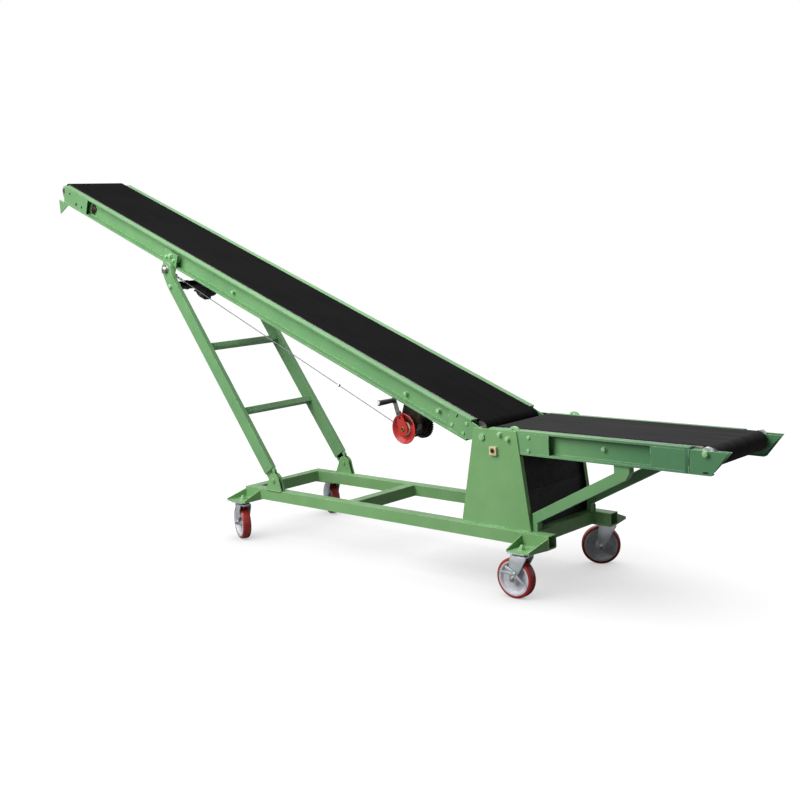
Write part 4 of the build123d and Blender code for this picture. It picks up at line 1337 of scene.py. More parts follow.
@dataclass(frozen=True)
class BaseFrame:
    """What holds the base together: seams, nuts, tower bolts, bearing bushes, collars, and the black guard
    sheet that paints the shade between the towers.

    Args:
        rail_top: height of the rails' top.
        rail_inner: distance of the rails' inner faces from the centre plane.
        rail_outer: distance of their outer faces.
        cross_starts: where each cross tube starts.
        tube: side of the tube.
        tower_face: distance of the towers' outer faces.
        tower_rear: where the towers' foot starts.
        stitches: ends of each stitch weld on that foot, from its start.
        tower_bolts: places of the towers' bolts.
        bracket_feet: ends of each caster bracket at the rail.
        bracket_lips: ends of each caster bracket at its outer edge.
        bracket_reach: distance of that edge.
        block: middle of the bearing blocks.
        block_face: distance of their outer faces.
        screw_offset: distance of their screws from the middle, along and up.
        collar: middle of the collars behind the towers' upper edge.
        collar_seat: distance of the collars' inner faces.
        foot_pin: place of the strut's foot pins.
        foot_ends: ends of the strut's feet along the rail.
        foot_inner: distance of the feet's inner seams.
        foot_face: distance of the feet's outer faces.
        guard_low: lower edge of the belt guard.
        guard_high: upper edge of the belt guard.
        guard_half: half the width of the belt guard.
    """

    rail_top: float = 306.0
    rail_inner: float = 236.5
    rail_outer: float = 300.0
    cross_starts: tuple[float, ...] = (0.0, 827.0, 2073.0)
    tube: float = 63.5
    tower_face: float = 268.0
    tower_rear: float = 1677.0
    stitches: tuple[Point, ...] = ((6, 104), (168, 286), (352, 430))
    tower_bolts: tuple[Point, ...] = ((1944, 774), (1993, 754))
    bracket_feet: tuple[Point, ...] = ((0, 131), (2075, 2236))
    bracket_lips: tuple[Point, ...] = ((-34, 131), (2075, 2212))
    bracket_reach: float = 420.0
    block: tuple[float, float] = (1903.0, 689.0)
    block_face: float = 282.0
    screw_offset: float = 15.0
    collar: tuple[float, float] = (2023.0, 784.0)
    collar_seat: float = 246.0
    foot_pin: tuple[float, float] = (265.0, 368.0)
    foot_ends: tuple[float, float] = (192.0, 328.0)
    foot_inner: float = 272.5
    foot_face: float = 303.0
    guard_low: tuple[float, float] = (2063.0, 493.0)
    guard_high: tuple[float, float] = (2044.0, 680.0)
    guard_half: float = 258.0

    def build(self) -> None:
        """Build and dress everything on the base."""
        for name, width, seams in (
            ("base_weld_beads", 7, self.tube_seams()),
            ("bracket_weld_beads", 6, self.bracket_seams()),
            ("tower_weld_beads", 8, self.tower_seams()),
        ):
            mount(Bead(width).lay(name, MACHINE, seams), GREEN, "base")
        low = self.rail_top - self.tube
        stems = [MACHINE.put((c.x, c.y, low), (0, 0, 1), 20 * c.yaw) for c in CASTERS]
        Fastened("caster_stem_nuts", HexBolt(27, 13, 21, 9, 9), stems, "base").build()
        bolts = outward(MACHINE, self.tower_bolts, self.tower_face)
        Fastened("tower_bolts", HexBolt(20, 12, 13), bolts, "base").build()
        pins = outward(MACHINE, [self.foot_pin], self.foot_face)
        Fastened("strut_foot_pin_nuts", HexBolt(24, 7, 17), pins, "base", TOWER_GREEN).build()
        self.add_bushes()
        self.add_collars()
        self.add_shade_guard()

    def tube_seams(self) -> list[tuple[Point, Point]]:
        """Return the seams of the cross tubes and of the strut's feet at the rails."""
        top, low = self.rail_top, self.rail_top - self.tube
        near = -self.rail_inner + 1
        seams: list[tuple[Point, Point]] = []
        for start in self.cross_starts:
            end = start + self.tube
            for edge in (start, end):
                seams.append(((edge, near, low + 4), (edge, near, top - 3)))
            for height in (top - 1, low + 1):
                seams.append(((start + 3, near, height), (end - 3, near, height)))
        start, end = self.foot_ends
        for out in (self.foot_face + 0.5, self.foot_inner):
            seams.append(((start + 6, -out, top), (end - 6, -out, top)))
        return two_sided(seams)

    def bracket_seams(self) -> list[tuple[Point, Point]]:
        """Return the seams of the caster brackets: at the rail and inside the tray."""
        low = self.rail_top - self.tube
        floor = low + 1
        rail = -self.rail_outer - 1
        seams: list[tuple[Point, Point]] = []
        for foot, lip in zip(self.bracket_feet, self.bracket_lips):
            for at, out, inward in ((foot[0], lip[0], 6), (foot[1], lip[1], -6)):
                corner = at + inward
                tip = (out + inward, -self.bracket_reach + 6, floor)
                seams.append(((corner, rail, low + 3), (corner, rail, low + 46)))
                seams.append(((corner, rail - 3, floor), tip))
            seams.append(((foot[0] + 9, rail, floor), (foot[1] - 9, rail, floor)))
        return two_sided(seams)

    def tower_seams(self) -> list[tuple[Point, Point]]:
        """Return the stitch welds along the towers' feet and the seams of the braces."""
        outer, top = -self.tower_face - 1, self.rail_top
        seams: list[tuple[Point, Point]] = [
            ((self.tower_rear + start, outer, top), (self.tower_rear + end, outer, top))
            for start, end in self.stitches
        ]
        seams += [
            ((2137.5, -249, 309), (2137.5, -249, 346)),
            ((2137.5, -213, 309), (2137.5, -213, 346)),
            ((2590, -251.5, 681), (2660, -251.5, 681)),
        ]
        return two_sided(seams)

    def add_bushes(self) -> None:
        """Fit the greasy bush, the shaft's end and four screws into each bearing block."""
        x, z = self.block
        places = outward(MACHINE, [self.block], self.block_face, 0.0)
        rim = [(-4, 9), (-4, 10), (0.2, 10.2), (1.2, 14.5), (0, 15.5), (0, 9), (-4, 9)]
        bushes = copies("bearing_bushes", turned("bush", rim, steps=32), places)
        mount(bushes, BRONZE, "base")
        end = [(-9, 0), (-9, 8.6), (-6, 8.6), (-5, 7.4), (-5, 2.5), (-7.5, 0)]
        ends = copies("bearing_shaft_ends", turned("stub", end, steps=28), places)
        mount(ends, IRON, "base")
        offsets = (-self.screw_offset, self.screw_offset)
        spots = [
            MACHINE.put((x + across, sign * self.block_face, z + up), (0, sign, 0), 40 * up)
            for sign in (-1, 1)
            for across in offsets
            for up in offsets
        ]
        screw = turned("screw", [(0, 0), (0, 3.6), (1.2, 3.4), (2.2, 2.2), (2.5, 0)], steps=14)
        mount(copies("bearing_screws", screw, spots), CREAM, "base")

    def add_collars(self) -> None:
        """Add the round collars that stand behind the towers' upper edge."""
        ring = [(0, 23), (0, 33), (1.5, 34.5), (10.5, 34.5), (12, 33), (12, 23), (0, 23)]
        places = outward(MACHINE, [self.collar], self.collar_seat, 0.0)
        collars = copies("tower_collars", turned("collar", ring, steps=40), places)
        mount(collars, BOLTED, "base")

    def add_shade_guard(self) -> None:
        """Hang a black sheet above the panel, a guessed belt guard that paints the shade between the
        towers: a thin sheet with turned edges.
        """
        low, high, half = self.guard_low, self.guard_high, self.guard_half
        profile = [low, high, (high[0] - 1.5, high[1]), (low[0] - 1.5, low[1])]
        sheet = prism("sheet", Face.SIDE, profile, -half, half, 0.3)
        strip = [(2060, 299), (2073, 299), (2073, 304.5), (2060, 304.5)]
        foot = prism("foot", Face.SIDE, strip, -232, 232, 0.4)
        turned_edge = [low, high, (high[0] - 14, high[1]), (low[0] - 14, low[1])]
        hems = [
            prism("hem", Face.SIDE, turned_edge, at, at + 2, 0.4) for at in (-half - 2, half)
        ]
        guard = settle(joined("belt_guard_painted_shade", [sheet, foot, *hems]), MACHINE.matrix())
        mount(guard, SHADE_GUARD, "base")


@dataclass(frozen=True)
class FeedConveyor:
    """What dresses the level feed: bolts, seams, nose collars and the take-ups' slots and gaps.

    Args:
        top: height of its flanges.
        depth: depth of its channels.
        web: distance of the channels' webs from the centre plane.
        face: distance of its outer plates.
        splice_bolts: bolts of the splice plates.
        splice_end: where the splice plates end.
        web_bolt: place of the bolt in the web.
        infill: ends of the infill plates.
        nose: middle of the nose pulley.
        nose_seat: distance of the nose collars' inner faces.
        slot: middle of the take-up's tool slot.
        flange_thick: thickness of the flanges.
    """

    top: float = 800.0
    depth: float = 118.0
    web: float = 224.0
    face: float = 262.0
    splice_bolts: tuple[Point, ...] = ((2114, 771), (2111, 706))
    splice_end: float = 2230.0
    web_bolt: tuple[float, float] = (2520.0, 745.0)
    infill: tuple[float, float] = (2788.0, 2978.0)
    nose: tuple[float, float] = (3060.0, 779.0)
    nose_seat: float = 236.0
    slot: tuple[float, float] = (3057.0, 695.0)
    flange_thick: float = 11.0

    def build(self) -> None:
        """Build and dress everything on the feed."""
        bolts = outward(MACHINE, self.splice_bolts, self.face)
        Fastened("splice_bolts", HexBolt(18, 11, 0), bolts, "base").build()
        bolts = outward(MACHINE, [self.web_bolt], self.web)
        Fastened("feed_web_bolts", HexBolt(20, 12, 14), bolts, "base").build()
        bolts = outward(MACHINE, [self.nose], self.face)
        Fastened("nose_bolts", HexBolt(26, 12, 17), bolts, "base").build()
        beads = Bead(6).lay("feed_weld_beads", MACHINE, self.seams())
        mount(beads, GREEN, "base")
        ring = [(0, 16), (0, 26), (1.5, 27.5), (14.5, 27.5), (16, 26), (16, 16), (0, 16)]
        places = outward(MACHINE, [self.nose], self.nose_seat, 0.0)
        collars = copies("nose_collars", turned("collar", ring, steps=40), places)
        mount(collars, ZINC, "base")
        self.add_slots()
        self.add_gaps()

    def seams(self) -> list[tuple[Point, Point]]:
        """Return the seams of the side plates."""
        low = self.top - self.depth + self.flange_thick
        high = self.top - self.flange_thick
        start, end = self.infill
        face = -self.face + 1
        upright = [
            (self.splice_end, low, low + 22),
            (self.splice_end, high - 20, high),
            (start, low, low + 30),
            (start, high - 34, high),
            (end - 2, low - 8, low + 26),
            (end - 2, high - 30, high + 6),
        ]
        seams: list[tuple[Point, Point]] = [((x, face, a), (x, face, b)) for x, a, b in upright]
        seams.append(((start + 10, face + 1, low - 1), (start + 70, face + 1, low - 1)))
        return two_sided(seams)

    def add_slots(self) -> None:
        """Show the tool slots of the take-ups as black plates with a rim: painted shade for the recesses.
        """
        x, z = self.slot
        outline = [(x - 13, z - 4), (x + 13, z - 4), (x + 13, z + 4), (x - 13, z + 4)]
        pits = two_plates("slot", MACHINE, outline, self.face - 1, self.face + 0.5, 0.3)
        mount(joined("take_up_slots", pits), SHADE_PIT, "base")

    def add_gaps(self) -> None:
        """Back the gap between each infill plate and nose plate with a dark green strip and band: painted
        shade.
        """
        start = self.infill[1]
        low, high = self.top - self.depth + 2, self.top - 2
        strip = [(start, low), (start + 5, low), (start + 5, high), (start, high)]
        band = [(start - 22, 686), (start - 1, 686), (start - 1, 797), (start - 22, 797)]
        strips = [
            *two_plates("gap", MACHINE, strip, 240, self.face - 1.5, 0.4),
            *two_plates("band", MACHINE, band, self.face - 1, self.face + 0.4, 0.2),
        ]
        mount(joined("take_up_gap_shade", strips), GAP_SHADE_GREEN, "base")


# Incline conveyor


@dataclass(frozen=True)
class InclineConveyor:
    """What dresses the incline: web bolts, seams, end plate fittings, bearings and motor trim.

    Args:
        web: distance of the webs' outer faces from the centre plane.
        tail_face: distance of the tail plates' outer faces.
        head_face: distance of the head plates' outer faces.
        length: length of the channels up the slope.
        depth: depth of the channels.
        flange_thick: thickness of the flanges.
        web_bolts: bolts of the webs.
        tail_bolts: bolts of the tail plates.
        tail_slot: middle of the tail plates' slot.
        head_holes: round holes of the head plates.
        head_square: middle of the head plates' square hole.
        head_shaft: middle of the head pulley's shaft.
        bearing_seat: distance of its bearings' inner faces.
        drive: middle of the take-up bearings.
        motor: place of the gear motor along the slope.
        motor_drop: how far the motor's middle lies below the flanges' top.
        neck_drop: how far its cross tube lies below them.
    """

    web: float = 224.0
    tail_face: float = 257.0
    head_face: float = 262.0
    length: float = 3847.0
    depth: float = 118.0
    flange_thick: float = 11.0
    web_bolts: tuple[Point, ...] = ((-559, -74), (-323, -64), (-2030, -72))
    tail_bolts: tuple[Point, ...] = ((-199, -80), (-112, -34), (-118, -88))
    tail_slot: tuple[float, float] = (-182.0, -20.0)
    head_holes: tuple[Point, ...] = ((-3788, -36), (-3633, -81))
    head_square: tuple[float, float] = (-3699.0, -81.0)
    head_shaft: tuple[float, float] = (-3875.0, -42.5)
    bearing_seat: float = 230.0
    drive: tuple[float, float] = (-3531.0, -61.0)
    motor: float = -2590.0
    motor_drop: float = 276.0
    neck_drop: float = 247.0

    def build(self) -> None:
        """Build and dress everything on the incline."""
        bolts = outward(SLOPE, self.web_bolts, self.web)
        Fastened("incline_web_bolts", HexBolt(21, 16, 14), bolts, "incline").build()
        bolts = outward(SLOPE, self.tail_bolts, self.tail_face)
        Fastened("tail_plate_bolts", HexBolt(18, 11, 0), bolts, "incline").build()
        beads = Bead(6).lay("incline_weld_beads", SLOPE, self.seams())
        mount(beads, GREEN, "incline")
        self.add_recesses()
        self.add_head_bearings()
        self.add_drive_bearings()
        self.add_motor()

    def seams(self) -> list[tuple[Point, Point]]:
        """Return the seams of the end plates."""
        low, high = self.flange_thick - self.depth, -self.flange_thick
        start = -self.length
        head, tail = -self.head_face + 1, -self.tail_face + 1
        seams: list[tuple[Point, Point]] = [
            ((start + 271, head, low), (start + 271, head, low + 26)),
            ((start + 271, head, high - 24), (start + 271, head, high)),
            ((start + 4, head, low), (start + 70, head, low)),
            ((start - 55, head + 3, -self.depth + 1), (start + 50, head + 3, -self.depth + 1)),
            ((-236, tail, low + 4), (-236, tail, high - 4)),
            ((-226, tail, low), (-150, tail, low)),
        ]
        return two_sided(seams)

    def add_recesses(self) -> None:
        """Show the holes and the slot of the end plates as black plates: painted shade for the recesses.
        """
        hole = turned("hole", [(-1, 0), (-1, 7.5), (0.3, 7.8), (0.5, 7.2), (0.4, 0)], steps=28)
        holes = copies("head_plate_holes", hole, outward(SLOPE, self.head_holes, self.head_face))
        mount(holes, SHADE_PIT, "incline")
        x, z = self.head_square
        square = [(x - 9, z - 9), (x + 9, z - 9), (x + 9, z + 9), (x - 9, z + 9)]
        x, z = self.tail_slot
        slot = [(x - 5, z - 11), (x + 3, z - 12), (x + 7, z + 8), (x - 1, z + 9)]
        marks = [
            mark
            for outline, face in ((square, self.head_face), (slot, self.tail_face))
            for mark in two_plates("recess", SLOPE, outline, face - 1, face + 0.5, 0.3)
        ]
        mount(joined("end_plate_recesses", marks), SHADE_PIT, "incline")

    def add_head_bearings(self) -> None:
        """Add a flanged bearing on each end of the head pulley's shaft."""
        x, z = self.head_shaft
        places = outward(SLOPE, [self.head_shaft], self.bearing_seat, 0.0)
        flange = [(0, 13), (0, 34), (2, 36), (8, 35), (11, 28), (19, 25)]
        nose = [(21, 22), (21, 19), (17, 17), (17, 13), (0, 13)]
        housing = turned("housing", [*flange, *nose], steps=44)
        housings = copies("head_bearing_housings", housing, places)
        mount(housings, GREEN, "incline")
        race = [(14, 12.6), (14, 17.5), (20, 17), (24, 16), (24, 12.6), (14, 12.6)]
        rings = copies("head_bearing_rings", turned("ring", race, steps=36), places)
        mount(rings, BARE, "incline")
        spots = [
            SLOPE.put((x + along, sign * (self.bearing_seat + 11), z + up), (0, sign, 0), 20)
            for sign in (-1, 1)
            for along, up in ((-15, 24), (15, -24))
        ]
        Fastened("head_bearing_bolts", HexBolt(13, 6, 8, 2, 4), spots, "incline").build()

    def add_drive_bearings(self) -> None:
        """Add the rusty take-up bearing in its window beside each head plate, the window backed in black
        as painted shade.
        """
        x, z = self.drive
        window = [(x - 36, z - 38), (x + 8, z - 38), (x + 8, z + 42), (x - 36, z + 42)]
        backs = two_plates("window", SLOPE, window, self.web - 1, self.web + 1.2, 0.5)
        mount(joined("bearing_windows", backs), SHADE_PIT, "incline")
        places = outward(SLOPE, [self.drive], self.web + 1, 0.0)
        block = [(0, 0), (0, 21), (3, 22), (9, 21), (12, 17), (16, 16)]
        nose = [(18, 14), (18, 11), (12, 10.6), (12, 0)]
        housings = copies("take_up_bearings", turned("housing", [*block, *nose], steps=40), places)
        mount(housings, RUSTY, "incline")
        end = [(10, 0), (10, 10.5), (22, 10.5), (23.5, 9), (23.5, 0)]
        ends = copies("take_up_shaft_ends", turned("shaft", end, steps=28), places)
        mount(ends, IRON, "incline")

    def add_motor(self) -> None:
        """Add the gear motor's fins, cowl, flange, terminal box, collars and bolts."""
        x, z = self.motor, -self.motor_drop
        middle, far = (x, 0.0, z), (0, 1, 0)
        fin = [(0, 57), (0, 61), (3, 61), (3, 57), (0, 57)]
        ribs = [
            turned("fin", [(at + along, radius) for along, radius in fin], middle, far, 48)
            for at in (-2 + 8.5 * number for number in range(9))
        ]
        shell = [(74, 57), (74, 60), (84, 59), (89, 55), (90.5, 44), (88, 42)]
        vent = [(88, 14), (90.5, 12), (90.5, 0), (85, 0), (85, 57), (74, 57)]
        cowl = turned("cowl", [*shell, *vent], middle, far, 56)
        rim = [(-22, 24), (-22, 40), (-19, 46), (-12, 52), (-10.5, 57), (-9, 57), (-9, 24), (-22, 24)]
        flange = turned("flange", rim, middle, far, 56)
        lid = [(x - 30, 14), (x + 30, 14), (x + 30, 66), (x - 30, 66)]
        box = prism("box", Face.PLAN, lid, z - 74, z - 54, 3.0)
        trim = settle(joined("gear_motor_trim", [*ribs, cowl, flange, box]), SLOPE.matrix())
        mount(trim, MOTOR, "incline")
        band = [(0, 24), (0, 29), (2, 30.5), (9, 30.5), (11, 29), (11, 24), (0, 24)]
        neck = (x, 0.0, -self.neck_drop)
        rings = [
            turned("collar", [(at + along, radius) for along, radius in band], neck, far, 40)
            for at in (-226, -130, -40)
        ]
        collars = settle(joined("gear_motor_collars", rings), SLOPE.matrix())
        mount(collars, MOTOR, "incline")
        circle, seat = 42, -22
        spots = [
            SLOPE.put((x + circle * cos(turn), seat, z + circle * sin(turn)), (0, -1, 0))
            for turn in (0.8, 2.3, 3.9, 5.5)
        ]
        bolt = HexBolt(13, 7, 8)
        Fastened("gear_motor_bolts", bolt, spots, "incline", OILED, "motor_black").build()


# Hand winch


@dataclass(frozen=True)
class Winch:
    """Trim of the hand winch, its distances taken outwards from the centre plane.

    Args:
        outer: radius of the cover.
        cover: distances of the cover's inner and outer edges.
        shade_smears: directions in which each patch of painted shade in the dish starts and ends, degrees.
        crank: radius at which the grip turns.
        grip: distances of the grip's ends.
        rods: places of the rods between the cheeks.
        cheek: distance of the near cheek's outer face.
        foot_bolts: places of the foot bolts along the winch.
        turns: how many turns of cable lie on the drum.
        first_turn: distance of the first turn.
        turn_pitch: distance from turn to turn.
    """

    outer: float = 80.0
    cover: tuple[float, float] = (262.0, 282.0)
    shade_smears: tuple[tuple[float, float], ...] = ((134, 210), (46, 104))
    crank: float = 158.0
    grip: tuple[float, float] = (295.0, 417.0)
    rods: tuple[Point, ...] = ((36, -36), (-36, -36))
    cheek: float = 252.0
    foot_bolts: tuple[float, float] = (-44.0, 44.0)
    turns: int = 14
    first_turn: float = 166.0
    turn_pitch: float = 5.2

    def build(self) -> None:
        """Build and dress everything on the winch."""
        self.add_cover()
        self.add_ring()
        self.add_hub()
        self.add_grip()
        self.add_cable_wraps()
        self.add_strap()
        spots = [WINCH.put((x, -self.cheek, z), (0, -1, 0), 15) for x, z in self.rods]
        nut = HexBolt(13, 4.5, 8, washer_thick=1.5)
        Fastened("winch_rod_nuts", nut, spots, "incline", OILED, "bare_steel").build()
        spots = [WINCH.put((x, -166, 110), (0, 0, -1), 20) for x in self.foot_bolts]
        bolt = HexBolt(13, 7, 9, 4, 5)
        Fastened("winch_foot_bolts", bolt, spots, "incline", OILED, "bare_steel").build()

    def lathe(
        self, name: str, profile: Sequence[Point], steps: int, middle: Point = (0, 0, 0)
    ) -> Piece:
        """Turn a profile about the outward direction.

        Args:
            name: name of the new piece.
            profile: (distance outwards, radius) pairs.
            steps: facets round it.
            middle: the zero of the distances.

        Returns:
            The turned piece.
        """
        return turned(name, profile, middle, (0, -1, 0), steps)

    def add_cover(self) -> None:
        """Trim the dished cover with its rolled rim, and paint the shade in the dish with dark patches."""
        floor, edge = self.cover[0] + 3, self.cover[1]
        roll = [(-5, -0.8), (-3, 1.6), (0, 1.4), (1, -0.6), (-0.5, -2.8), (-4, -2.6), (-5, -0.8)]
        profile = [(edge + along, self.outer + out) for along, out in roll]
        rim = self.lathe("winch_cover_rim", profile, 64)
        mount(settle(rim, WINCH.matrix()), RED, "winch")
        # Dark patches on the dish's floor: painted shade, in the greased pressings' colour.
        wall = [(39, floor + 0.8), (59, floor + 0.8)]
        shade_smears = [self.sector("dish_shade", wall, start, end, 0.6) for start, end in self.shade_smears]
        dish_shade = settle(joined("winch_cover_painted_shade", shade_smears), WINCH.matrix())
        mount(dish_shade, GREASE_AND_SHADE, "winch")

    def sector(
        self, name: str, wall: Sequence[Point], start: float, end: float, thick: float
    ) -> Piece:
        """Spin a line of (radius, along) points part of the way round and give it thickness.

        Args:
            name: name of the piece.
            wall: the line's points.
            start: direction it starts at, degrees.
            end: direction it ends at.
            thick: thickness of the layer.

        Returns:
            The curved layer.
        """
        turn = radians(start)
        points = [
            Vector((radius * cos(turn), -along, radius * sin(turn))) for radius, along in wall
        ]
        piece = trace(name, points, filled=False)
        bpy.ops.object.mode_set(mode="EDIT")
        bpy.ops.mesh.select_all(action="SELECT")
        bpy.ops.mesh.spin(steps=40, angle=radians(end - start), center=(0, 0, 0), axis=(0, 1, 0))
        bpy.ops.mesh.select_all(action="SELECT")
        bpy.ops.mesh.remove_doubles(threshold=0.01)
        bpy.ops.mesh.normals_make_consistent(inside=False)
        bpy.ops.object.mode_set(mode="OBJECT")
        bpy.ops.object.modifier_add(type="SOLIDIFY")
        layer = piece.modifiers[-1]
        layer.thickness = thick
        layer.offset = 0.0
        bpy.ops.object.modifier_apply(modifier=layer.name)
        return soften(piece, 0.3 * thick, 2, 50)

    def add_ring(self) -> None:
        """Add the pale friction ring round the cover's boss."""
        start, end = self.cover[0] + 3.2, self.cover[0] + 10
        inner = [(end, 34), (end, 28), (end - 2, 25), (start, 25)]
        profile = [(start, 25), (start, 34), (end - 5, 36), (end - 1, 36), *inner]
        ring = self.lathe("friction_ring", profile, 48)
        mount(settle(ring, WINCH.matrix()), RING, "winch")

    def add_hub(self) -> None:
        """Add the crank's bronze bush, the hole in it as a black plug of painted shade, and the rivets of
        the arm.
        """
        rim = [(288, 6), (288, 12), (290, 13), (292, 13), (294, 11.5), (294, 7), (291, 6), (288, 6)]
        bush = self.lathe("bush", rim, 40)
        mount(settle(bush, CRANK.matrix()), BRONZE, "winch")
        pit = [(287, 0), (287, 6.4), (289.6, 6.4), (289.2, 5), (289.2, 0)]
        mount(settle(self.lathe("hole", pit, 28), CRANK.matrix()), SHADE_PIT, "winch")
        rivet = turned("rivet", [(0, 0), (0, 6.5), (1.8, 6.0), (3.2, 4.2), (3.8, 0)], steps=20)
        spots = [CRANK.put((0, -out, up), (0, -1, 0)) for out, up in ((289, 62), (295, 86))]
        mount(copies("winch_arm_rivets", rivet, spots), GREASE_AND_SHADE, "winch")

    def add_grip(self) -> None:
        """Turn the grooved moulded grip and its white end cap."""
        start, end = self.grip
        collar = [(0, 0), (0, 13.5), (3, 15.5), (7, 15.5), (10, 12.5)]
        profile: list[tuple[float, float]] = [(start + along, out) for along, out in collar]
        along = start + 16
        while along < end - 19:
            out = 12.4 + 2.4 * (along - start) / (end - start)
            rib = [(0, out - 0.9), (1.2, out), (6.2, out), (7.4, out - 0.9)]
            profile += [(along + step, radius) for step, radius in rib]
            along += 8.4
        profile += [(end - 11, 15.4), (end - 7, 15.0), (end - 4, 12.5), (end - 4, 0)]
        middle = (0, 0, self.crank)
        body = settle(self.lathe("grip", profile, 40, middle), CRANK.matrix())
        mount(body, GRIP, "winch", ("winch_grip",))
        dome = [(-5, 0), (-5, 10.5), (-2, 10.2), (0.4, 8), (1.2, 4), (1.4, 0)]
        cap = self.lathe("cap", [(end + along, out) for along, out in dome], 32, middle)
        mount(settle(cap, CRANK.matrix()), CAP, "winch")

    def add_strap(self) -> None:
        """Add the pawl's guide strap and its spring on the near cheek."""
        outline = [(38, -34), (48, -30), (50, 22), (44, 34), (37, 26)]
        strap = prism("strap", Face.SIDE, outline, -self.cheek, -self.cheek - 4, 0.8)
        wire = [(0, 3), (0, 5.5), (1.6, 6), (3, 5.5), (3, 3), (0, 3)]
        coils = [
            self.lathe("coil", [(at + along, out) for along, out in wire], 20, (30, 0, 44))
            for at in (self.cheek, self.cheek + 3.4)
        ]
        whole = settle(joined("winch_pawl_strap", [strap, *coils]), WINCH.matrix())
        mount(whole, OILED, "incline")

    def add_cable_wraps(self) -> None:
        """Lay the cable's turns on the drum."""
        round_wire = [(-2.4, 22), (-2.0, 24.6), (0, 26.4), (2.0, 24.6), (2.4, 22), (-2.4, 22)]
        wrap = turned("wrap", round_wire, steps=26)
        spots = [
            WINCH.put((0, -(self.first_turn + self.turn_pitch * turn), 0), (0, -1, 0))
            for turn in range(self.turns)
        ]
        mount(copies("winch_cable_wraps", wrap, spots), ROPE, "winch")


# Strut, carriage and lifting cable


@dataclass(frozen=True)
class StrutAndCarriage:
    """Pins, bolts, seams and shoes of the strut, and bolts of the carriage under the incline.

    Args:
        leg_faces: distances of the legs' inner and outer faces from the centre plane.
        top: place of the top pin, across and along the lean.
        dome_seat: distance of the top pin's domes.
        leg_bolt: place of the bolt in the leg.
        rungs: heights of the rungs.
        face: distance of the outer faces of the carriage's plates.
        carriage_bolt: place of the carriage's bolt.
        rollers: places of the guide rollers up the slope.
        roller_drop: how far they lie below the flanges' top.
    """

    leg_faces: tuple[float, float] = (273.0, 303.0)
    top: tuple[float, float] = (21.0, 1532.0)
    dome_seat: float = 317.0
    leg_bolt: tuple[float, float] = (-13.0, 1426.0)
    rungs: tuple[float, ...] = (478.0, 951.0)
    face: float = 268.0
    carriage_bolt: tuple[float, float] = (-2614.0, -52.0)
    rollers: tuple[float, ...] = (2577.0, 2653.0)
    roller_drop: float = 71.0

    def build(self) -> None:
        """Build and dress everything on the strut and the carriage."""
        outer = self.leg_faces[1]
        bulge = [(0, 0), (0, 19), (2, 20), (5, 19.5), (9, 15), (11, 8), (11.5, 0)]
        places = outward(LEAN, [self.top], self.dome_seat)
        domes = copies("strut_top_domes", turned("dome", bulge, steps=36), places)
        mount(domes, BARE, "strut")
        ring = [(0, 17.5), (0, 27), (1, 28), (4, 28), (5, 27), (5, 17.5), (0, 17.5)]
        places = outward(LEAN, [self.top], outer)
        washers = copies("strut_top_washers", turned("collar", ring, steps=36), places)
        mount(washers, BARE, "strut")
        beads = Bead(6).lay("strut_weld_beads", LEAN, self.seams())
        mount(beads, GREEN, "strut")
        self.add_shoes()
        bolts = outward(SLOPE, [self.carriage_bolt], self.face)
        Fastened("carriage_bolts", HexBolt(24, 11, 16), bolts, "carriage").build()
        bolts = outward(LEAN, [self.leg_bolt], outer)
        Fastened("strut_leg_bolts", HexBolt(24, 11, 16), bolts, "strut").build()
        axles = outward(SLOPE, [(-along, -self.roller_drop) for along in self.rollers], self.face)
        Fastened("carriage_roller_nuts", HexBolt(17, 8, 12), axles, "carriage").build()

    def add_shoes(self) -> None:
        """Carry each leg's shape down into its foot with a slant-ended shoe."""
        outline = [(-40, 70), (40, 70), (40, 42), (24, 20), (-24, 20), (-40, 42)]
        shoes = two_plates("shoe", LEAN, outline, 279, 297, 1.5)
        mount(joined("strut_leg_shoes", shoes), GREEN, "strut")

    def seams(self) -> list[tuple[Point, Point]]:
        """Return the seams of the rungs and of the lugs."""
        inner, outer = -self.leg_faces[0] + 1, -self.leg_faces[1] + 0.5
        seams: list[tuple[Point, Point]] = []
        for up in self.rungs:
            for edge in (up - 16, up + 16):
                seams.append(((-14, inner, edge), (14, inner, edge)))
        for up in (self.top[1] - 96, 96):
            seams.append(((-16, outer, up), (16, outer, up)))
        return two_sided(seams)


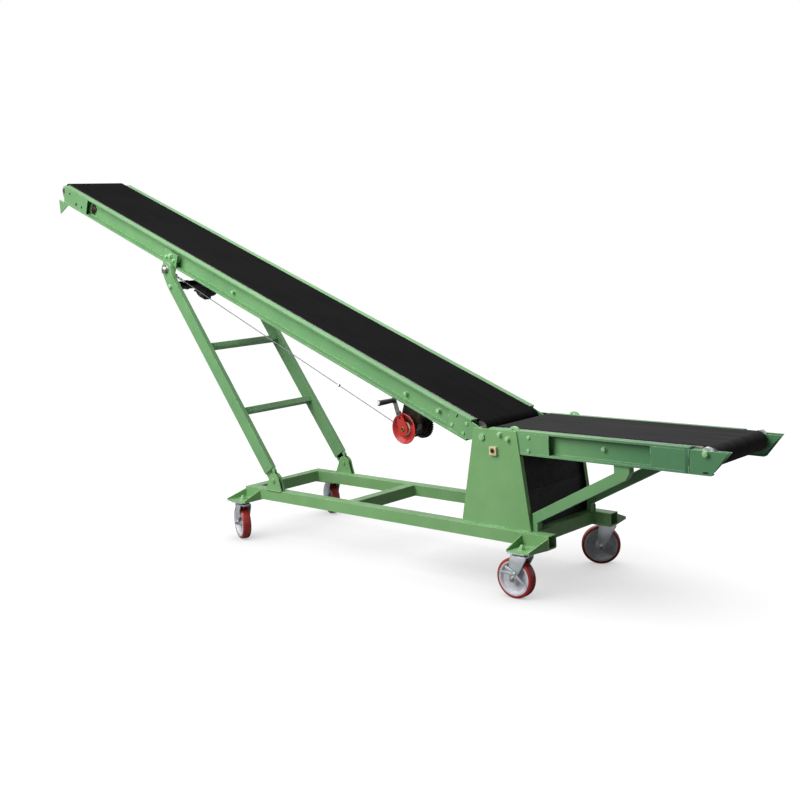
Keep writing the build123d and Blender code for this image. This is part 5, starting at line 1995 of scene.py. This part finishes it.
@dataclass(frozen=True)
class LiftingCable:
    """The clips and the ferrule at the cable's eye and the clip further down.

    Args:
        start: the eye end, in the slope's millimetres.
        end: the winch end.
        eye_clips: distances of the clips at the eye from the eye end.
        far_clip: distance of the clip further down.
    """

    start: tuple[float, float, float] = (-2562.7, -238.0, -172.0)
    end: tuple[float, float, float] = (-488.0, -238.0, -258.8)
    eye_clips: tuple[float, float] = (46.0, 74.0)
    far_clip: float = 1534.0

    def build(self) -> None:
        """Build and dress the clips and the ferrule."""
        first = Vector(self.start)
        run = (Vector(self.end) - first).normalized()
        saddle = [(-6, 3), (-6, 6.5), (-4.5, 8), (4.5, 8), (6, 6.5), (6, 3), (-6, 3)]
        spots = [SLOPE.put(first + run * along, run) for along in self.eye_clips]
        clips = copies("cable_clips", turned("saddle", saddle, steps=24), spots)
        mount(clips, ZINC, "carriage")
        joint = turned("joint", saddle, steps=24)
        place = SLOPE.put(first + run * self.far_clip, run)
        mount(settle(joint, place), ZINC, "incline")
        sleeve = [(14, 2.5), (14, 5), (16, 6), (36, 6), (38, 5), (38, 2.5), (14, 2.5)]
        ferrule = turned("ferrule", sleeve, steps=24)
        mount(settle(ferrule, SLOPE.put(first, run)), ZINC, "carriage")


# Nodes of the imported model

NODE_FINISHES: dict[str, Finish] = {
    "base_crosses": TOWER_GREEN,
    "caster_brackets": TOWER_GREEN,
    "feed_belt": FEED_BELT,
    "feed_channel_far": FEED_GREEN,
    "feed_channel_near": FEED_GREEN,
    "feed_side_plates": FEED_GREEN,
    "hinge_studs": BOLTED,
    "rail_far": TOWER_GREEN,
    "rail_near": TOWER_GREEN,
    "strut_feet": TOWER_GREEN,
    "tower_far": SHADED,
    "tower_near": TOWER_GREEN,
    "winch_cable": ROPE,
    "winch_drum": GREASE_AND_SHADE,
    "winch_frame": GREASE_AND_SHADE,
    "winch_ratchet": OILED,
}
EDGE_WIDTH = 0.8
EDGE_WIDTHS: dict[str, float] = {"winch_cable": 0.2}
SHARPEST_SMOOTH = 40
WELD_GAP = 0.02


def dress_nodes() -> None:
    """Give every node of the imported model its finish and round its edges."""
    slots = {row["node"]: row["material_slot"] for row in frame["record"]["subparts"]}
    for name, piece in frame["nodes"].items():
        finish = NODE_FINISHES.get(name, SLOT_FINISHES[slots[name]])
        for holder in piece.material_slots:
            holder.material = finish.material()
        weld = piece.modifiers.new("closed_faces", "WELD")
        weld.merge_threshold = WELD_GAP * MM
        bevel = piece.modifiers.new("soft_edges", "BEVEL")
        bevel.width = EDGE_WIDTHS.get(name, EDGE_WIDTH) * MM
        bevel.segments = 2
        bevel.limit_method = "ANGLE"
        bevel.angle_limit = radians(SHARPEST_SMOOTH)
        bevel.use_clamp_overlap = True
        log.info("%s finished as %s", name, finish.name)


def main() -> None:
    """Build the studio, dress the nodes and add the pieces in order."""
    logging.basicConfig(level=logging.INFO, format="%(name)s: %(message)s")
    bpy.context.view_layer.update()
    Studio().build()
    dress_nodes()
    assemblies = (BaseFrame(), FeedConveyor(), InclineConveyor(), Winch(), StrutAndCarriage())
    for assembly in (*CASTERS, *assemblies, LiftingCable()):
        assembly.build()


if __name__ == "__main__":
    main()
